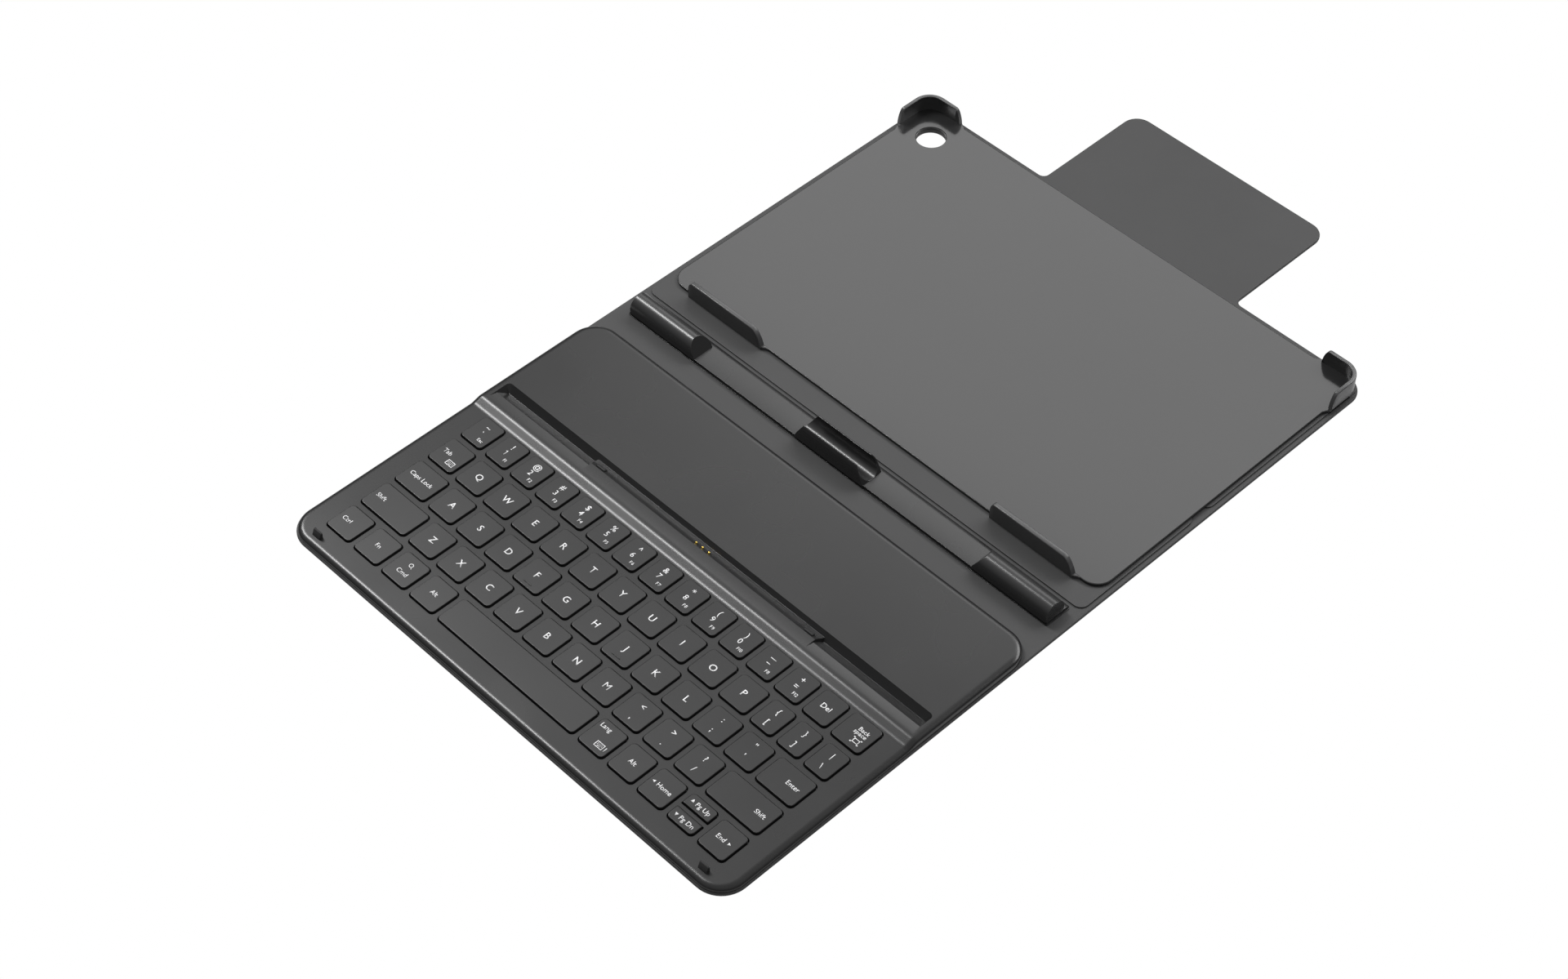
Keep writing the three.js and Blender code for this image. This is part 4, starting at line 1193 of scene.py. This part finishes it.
def add_pin(bm, node, grow=0, sink=0):
    """A round-nosed pin square to the shallow slope, centred on its CAD node."""
    low, high = box(node)
    x = (low.x + high.x) / 2
    down, normal = shallow_slope()
    radius = (high.x - low.x) / 2 + grow
    half_length = 1.55
    nose = Vector((low.y + high.y, low.z + high.z)) / 2 + normal * half_length
    profile = [(radius, -2.9), (radius, -0.3 - sink), (radius * 0.8, -0.06), (radius * 0.4, 0.06)]
    rings = []
    for r, along in profile:
        ring = []
        for across, back in curve(0, 0, r, 0, 360, 16)[:-1]:
            point = nose + normal * along + down * back
            ring.append((x + across, *point))
        rings.append(ring)
    add_loft(bm, rings)


def add_pin_holes(bm):
    """The pins again, a little wider and long enough to come through the slope."""
    for node in PIN_NODES:
        add_pin(bm, node, 0.12, -3)


def build_pins():
    for number, node in enumerate(PIN_NODES, 1):
        bm = bmesh.new()
        add_pin(bm, node)
        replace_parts(dress(new_object(f"contact_{number}", bm, 50), GOLD, node), node)


def build_tabs():
    """Two small blocks on the shallow slope that centre the tray's edge."""
    down, normal = shallow_slope()
    half_w, length = 2.3, 1.7
    start = Vector((SHALLOW_FRONT_Y, REAR_Z)) + down * 0.6
    for name, x in (("dock_tab_left", -59.8), ("dock_tab_right", 60.2)):
        rings = []
        for rise, inset in ((-0.5, 0), (0.5, 0), (0.7, 0.2)):
            half, near, far = half_w - inset, inset, length - inset
            ring = []
            for across, along in ((-half, near), (half, near), (half, far), (-half, far)):
                ring.append((x + across, *(start + down * along + normal * rise)))
            rings.append(ring)
        dress(loft(name, rings), HOLDER_PAINTED_LIGHT, "keyboard_base")


def build_posts():
    """Rubber wedges at the front corners: upright behind, leaning in front."""
    chamfer = 0.25
    for side in SIDES:
        node = f"corner_post_{side}"
        low, high = box(node)
        front, rear = low.y + 0.1, high.y + 0.35
        rings = []
        for z, lean, inset in ((DECK_Z - 0.05, 0, 0), (high.z - chamfer, 1.05, 0), (high.z, 1.3, chamfer)):
            outline = rounded_rect(low.x + inset, front + lean, high.x - inset, rear - inset, 0.35, steps=4)
            rings.append([(x, y, z) for x, y, _, _ in outline])
        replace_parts(dress(loft(f"post_{side}", rings, 40), RUBBER, "keyboard_base"), node)


def build_deck():
    deck = deck_body()
    carve_groove(deck)
    carve(deck, add_key_openings)
    carve_rooms(deck)
    carve(deck, add_pin_holes)
    shade(deck, 12)
    dress(deck, DECK, "keyboard_base")
    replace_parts(deck, "top_shell")


# -------------------------------- stage, light and camera

WHITE = (1, 1, 1, 1)


def show_to_camera(tree, seen, other, output):
    """Gives the camera one shader and every other ray the other one."""
    path = add_node(tree, "LightPath")
    mix = add_node(tree, "MixShader", Fac=path.outputs["Is Camera Ray"])
    for socket, shader in zip(mix.inputs[1:], (other, seen)):
        tree.links.new(shader.outputs[0], socket)
    feed(tree.nodes[output], Surface=mix.outputs["Shader"])


def build_floor():
    """A plain pale floor, below the lowest point that any pose reaches."""
    half = 6000
    depth = 190
    bm = bmesh.new()
    corners = [(-half, -half), (half, -half), (half, half), (-half, half)]
    bm.faces.new([bm.verts.new((x, y, -depth)) for x, y in corners])
    floor = new_object("floor", bm)
    material, tree, shader = new_material("pale_floor")
    feed(shader, Base_Color=(0.75, 0.75, 0.75, 1), Roughness=0.9)
    show_to_camera(tree, add_node(tree, "Emission", Color=WHITE), shader, "Material Output")
    floor.data.materials.append(material)


def build_world():
    """Soft light that comes from above only; the camera sees plain white."""
    world = bpy.data.worlds.new("studio")
    world.use_nodes = True
    bpy.context.scene.world = world
    tree = world.node_tree
    sky = tree.nodes["Background"]
    direction = add_node(tree, "TexCoord").outputs["Generated"]
    split = add_node(tree, "SeparateXYZ", Vector=direction)
    ramp = add_node(tree, "ValToRGB", Fac=split.outputs["Z"])
    for stop, height, level in zip(ramp.color_ramp.elements, SKY_HEIGHTS, SKY_LEVELS):
        stop.position = height
        stop.color = (level, level, level, 1)
    feed(sky, Color=ramp.outputs["Color"], Strength=SKY_STRENGTH)
    show_to_camera(tree, add_node(tree, "Background", Color=WHITE), sky, "World Output")


def add_softbox(name, direction, distance, size, power, aim):
    """A rectangular lamp that faces a point; size is its length along X and its other side, in metres."""
    lamp = bpy.data.lights.new(name, "AREA")
    lamp.shape = "RECTANGLE"
    lamp.size, lamp.size_y = size
    lamp.energy = power
    obj = add_object(name, lamp)
    towards = Vector(direction).normalized()
    obj.location = Vector(aim) + towards * distance
    across = towards.cross(Vector((1, 0, 0))).normalized()
    obj.rotation_euler = Matrix((across.cross(towards), across, towards)).transposed().to_euler()
    obj.visible_camera = False


SKY_STRENGTH = 0.9
SKY_HEIGHTS = (0.10, 0.80)          # the sky is dark below the first and brightest above the second
SKY_LEVELS = (0.01, 0.55)
CAMERA_AZIMUTH = 45.76
CAMERA_ELEVATION = 47.86
CAMERA_DISTANCE = 1.2344
CAMERA_AIM = (-0.00295, 0.07444, 0)
CAMERA_LENS = 70


def build_lights():
    middle = (0, 0.13, 0)
    add_softbox("edge_strip", (-0.607, 0.073, 0.795), 1.65, (0.8, 0.2), 16, (0, 0.02, 0))
    add_softbox("back_softbox", (-0.38, 0.63, 0.676), 1.7, (1.0, 0.6), 4.3, middle)
    add_softbox("deck_softbox", (-0.499, 0.352, 0.792), 1.85, (0.9, 0.4), 0.5, middle)
    add_softbox("rear_key", (0.2, 0.75, 0.63), 1.6, (1.2, 0.5), 12, middle)


def build_camera():
    camera = add_object("camera", bpy.data.cameras.new("camera"))
    camera.data.lens = CAMERA_LENS
    camera.data.sensor_width = 36
    azimuth, elevation = math.radians(CAMERA_AZIMUTH), math.radians(CAMERA_ELEVATION)
    back = Vector((
        math.sin(azimuth) * math.cos(elevation),
        -math.cos(azimuth) * math.cos(elevation),
        math.sin(elevation),
    ))
    camera.location = Vector(CAMERA_AIM) + back * CAMERA_DISTANCE
    camera.rotation_euler = back.to_track_quat("Z", "Y").to_euler()
    bpy.context.scene.camera = camera
    bpy.context.scene.view_settings.view_transform = "Standard"


# -------------------------------- the whole case

build_skin()
build_linings()
build_tray()
build_pen_holder()
build_deck()
build_keys()
build_legends()
build_tabs()
build_pins()
build_posts()
dress_inner_pieces()
build_floor()
build_world()
build_lights()
build_camera()
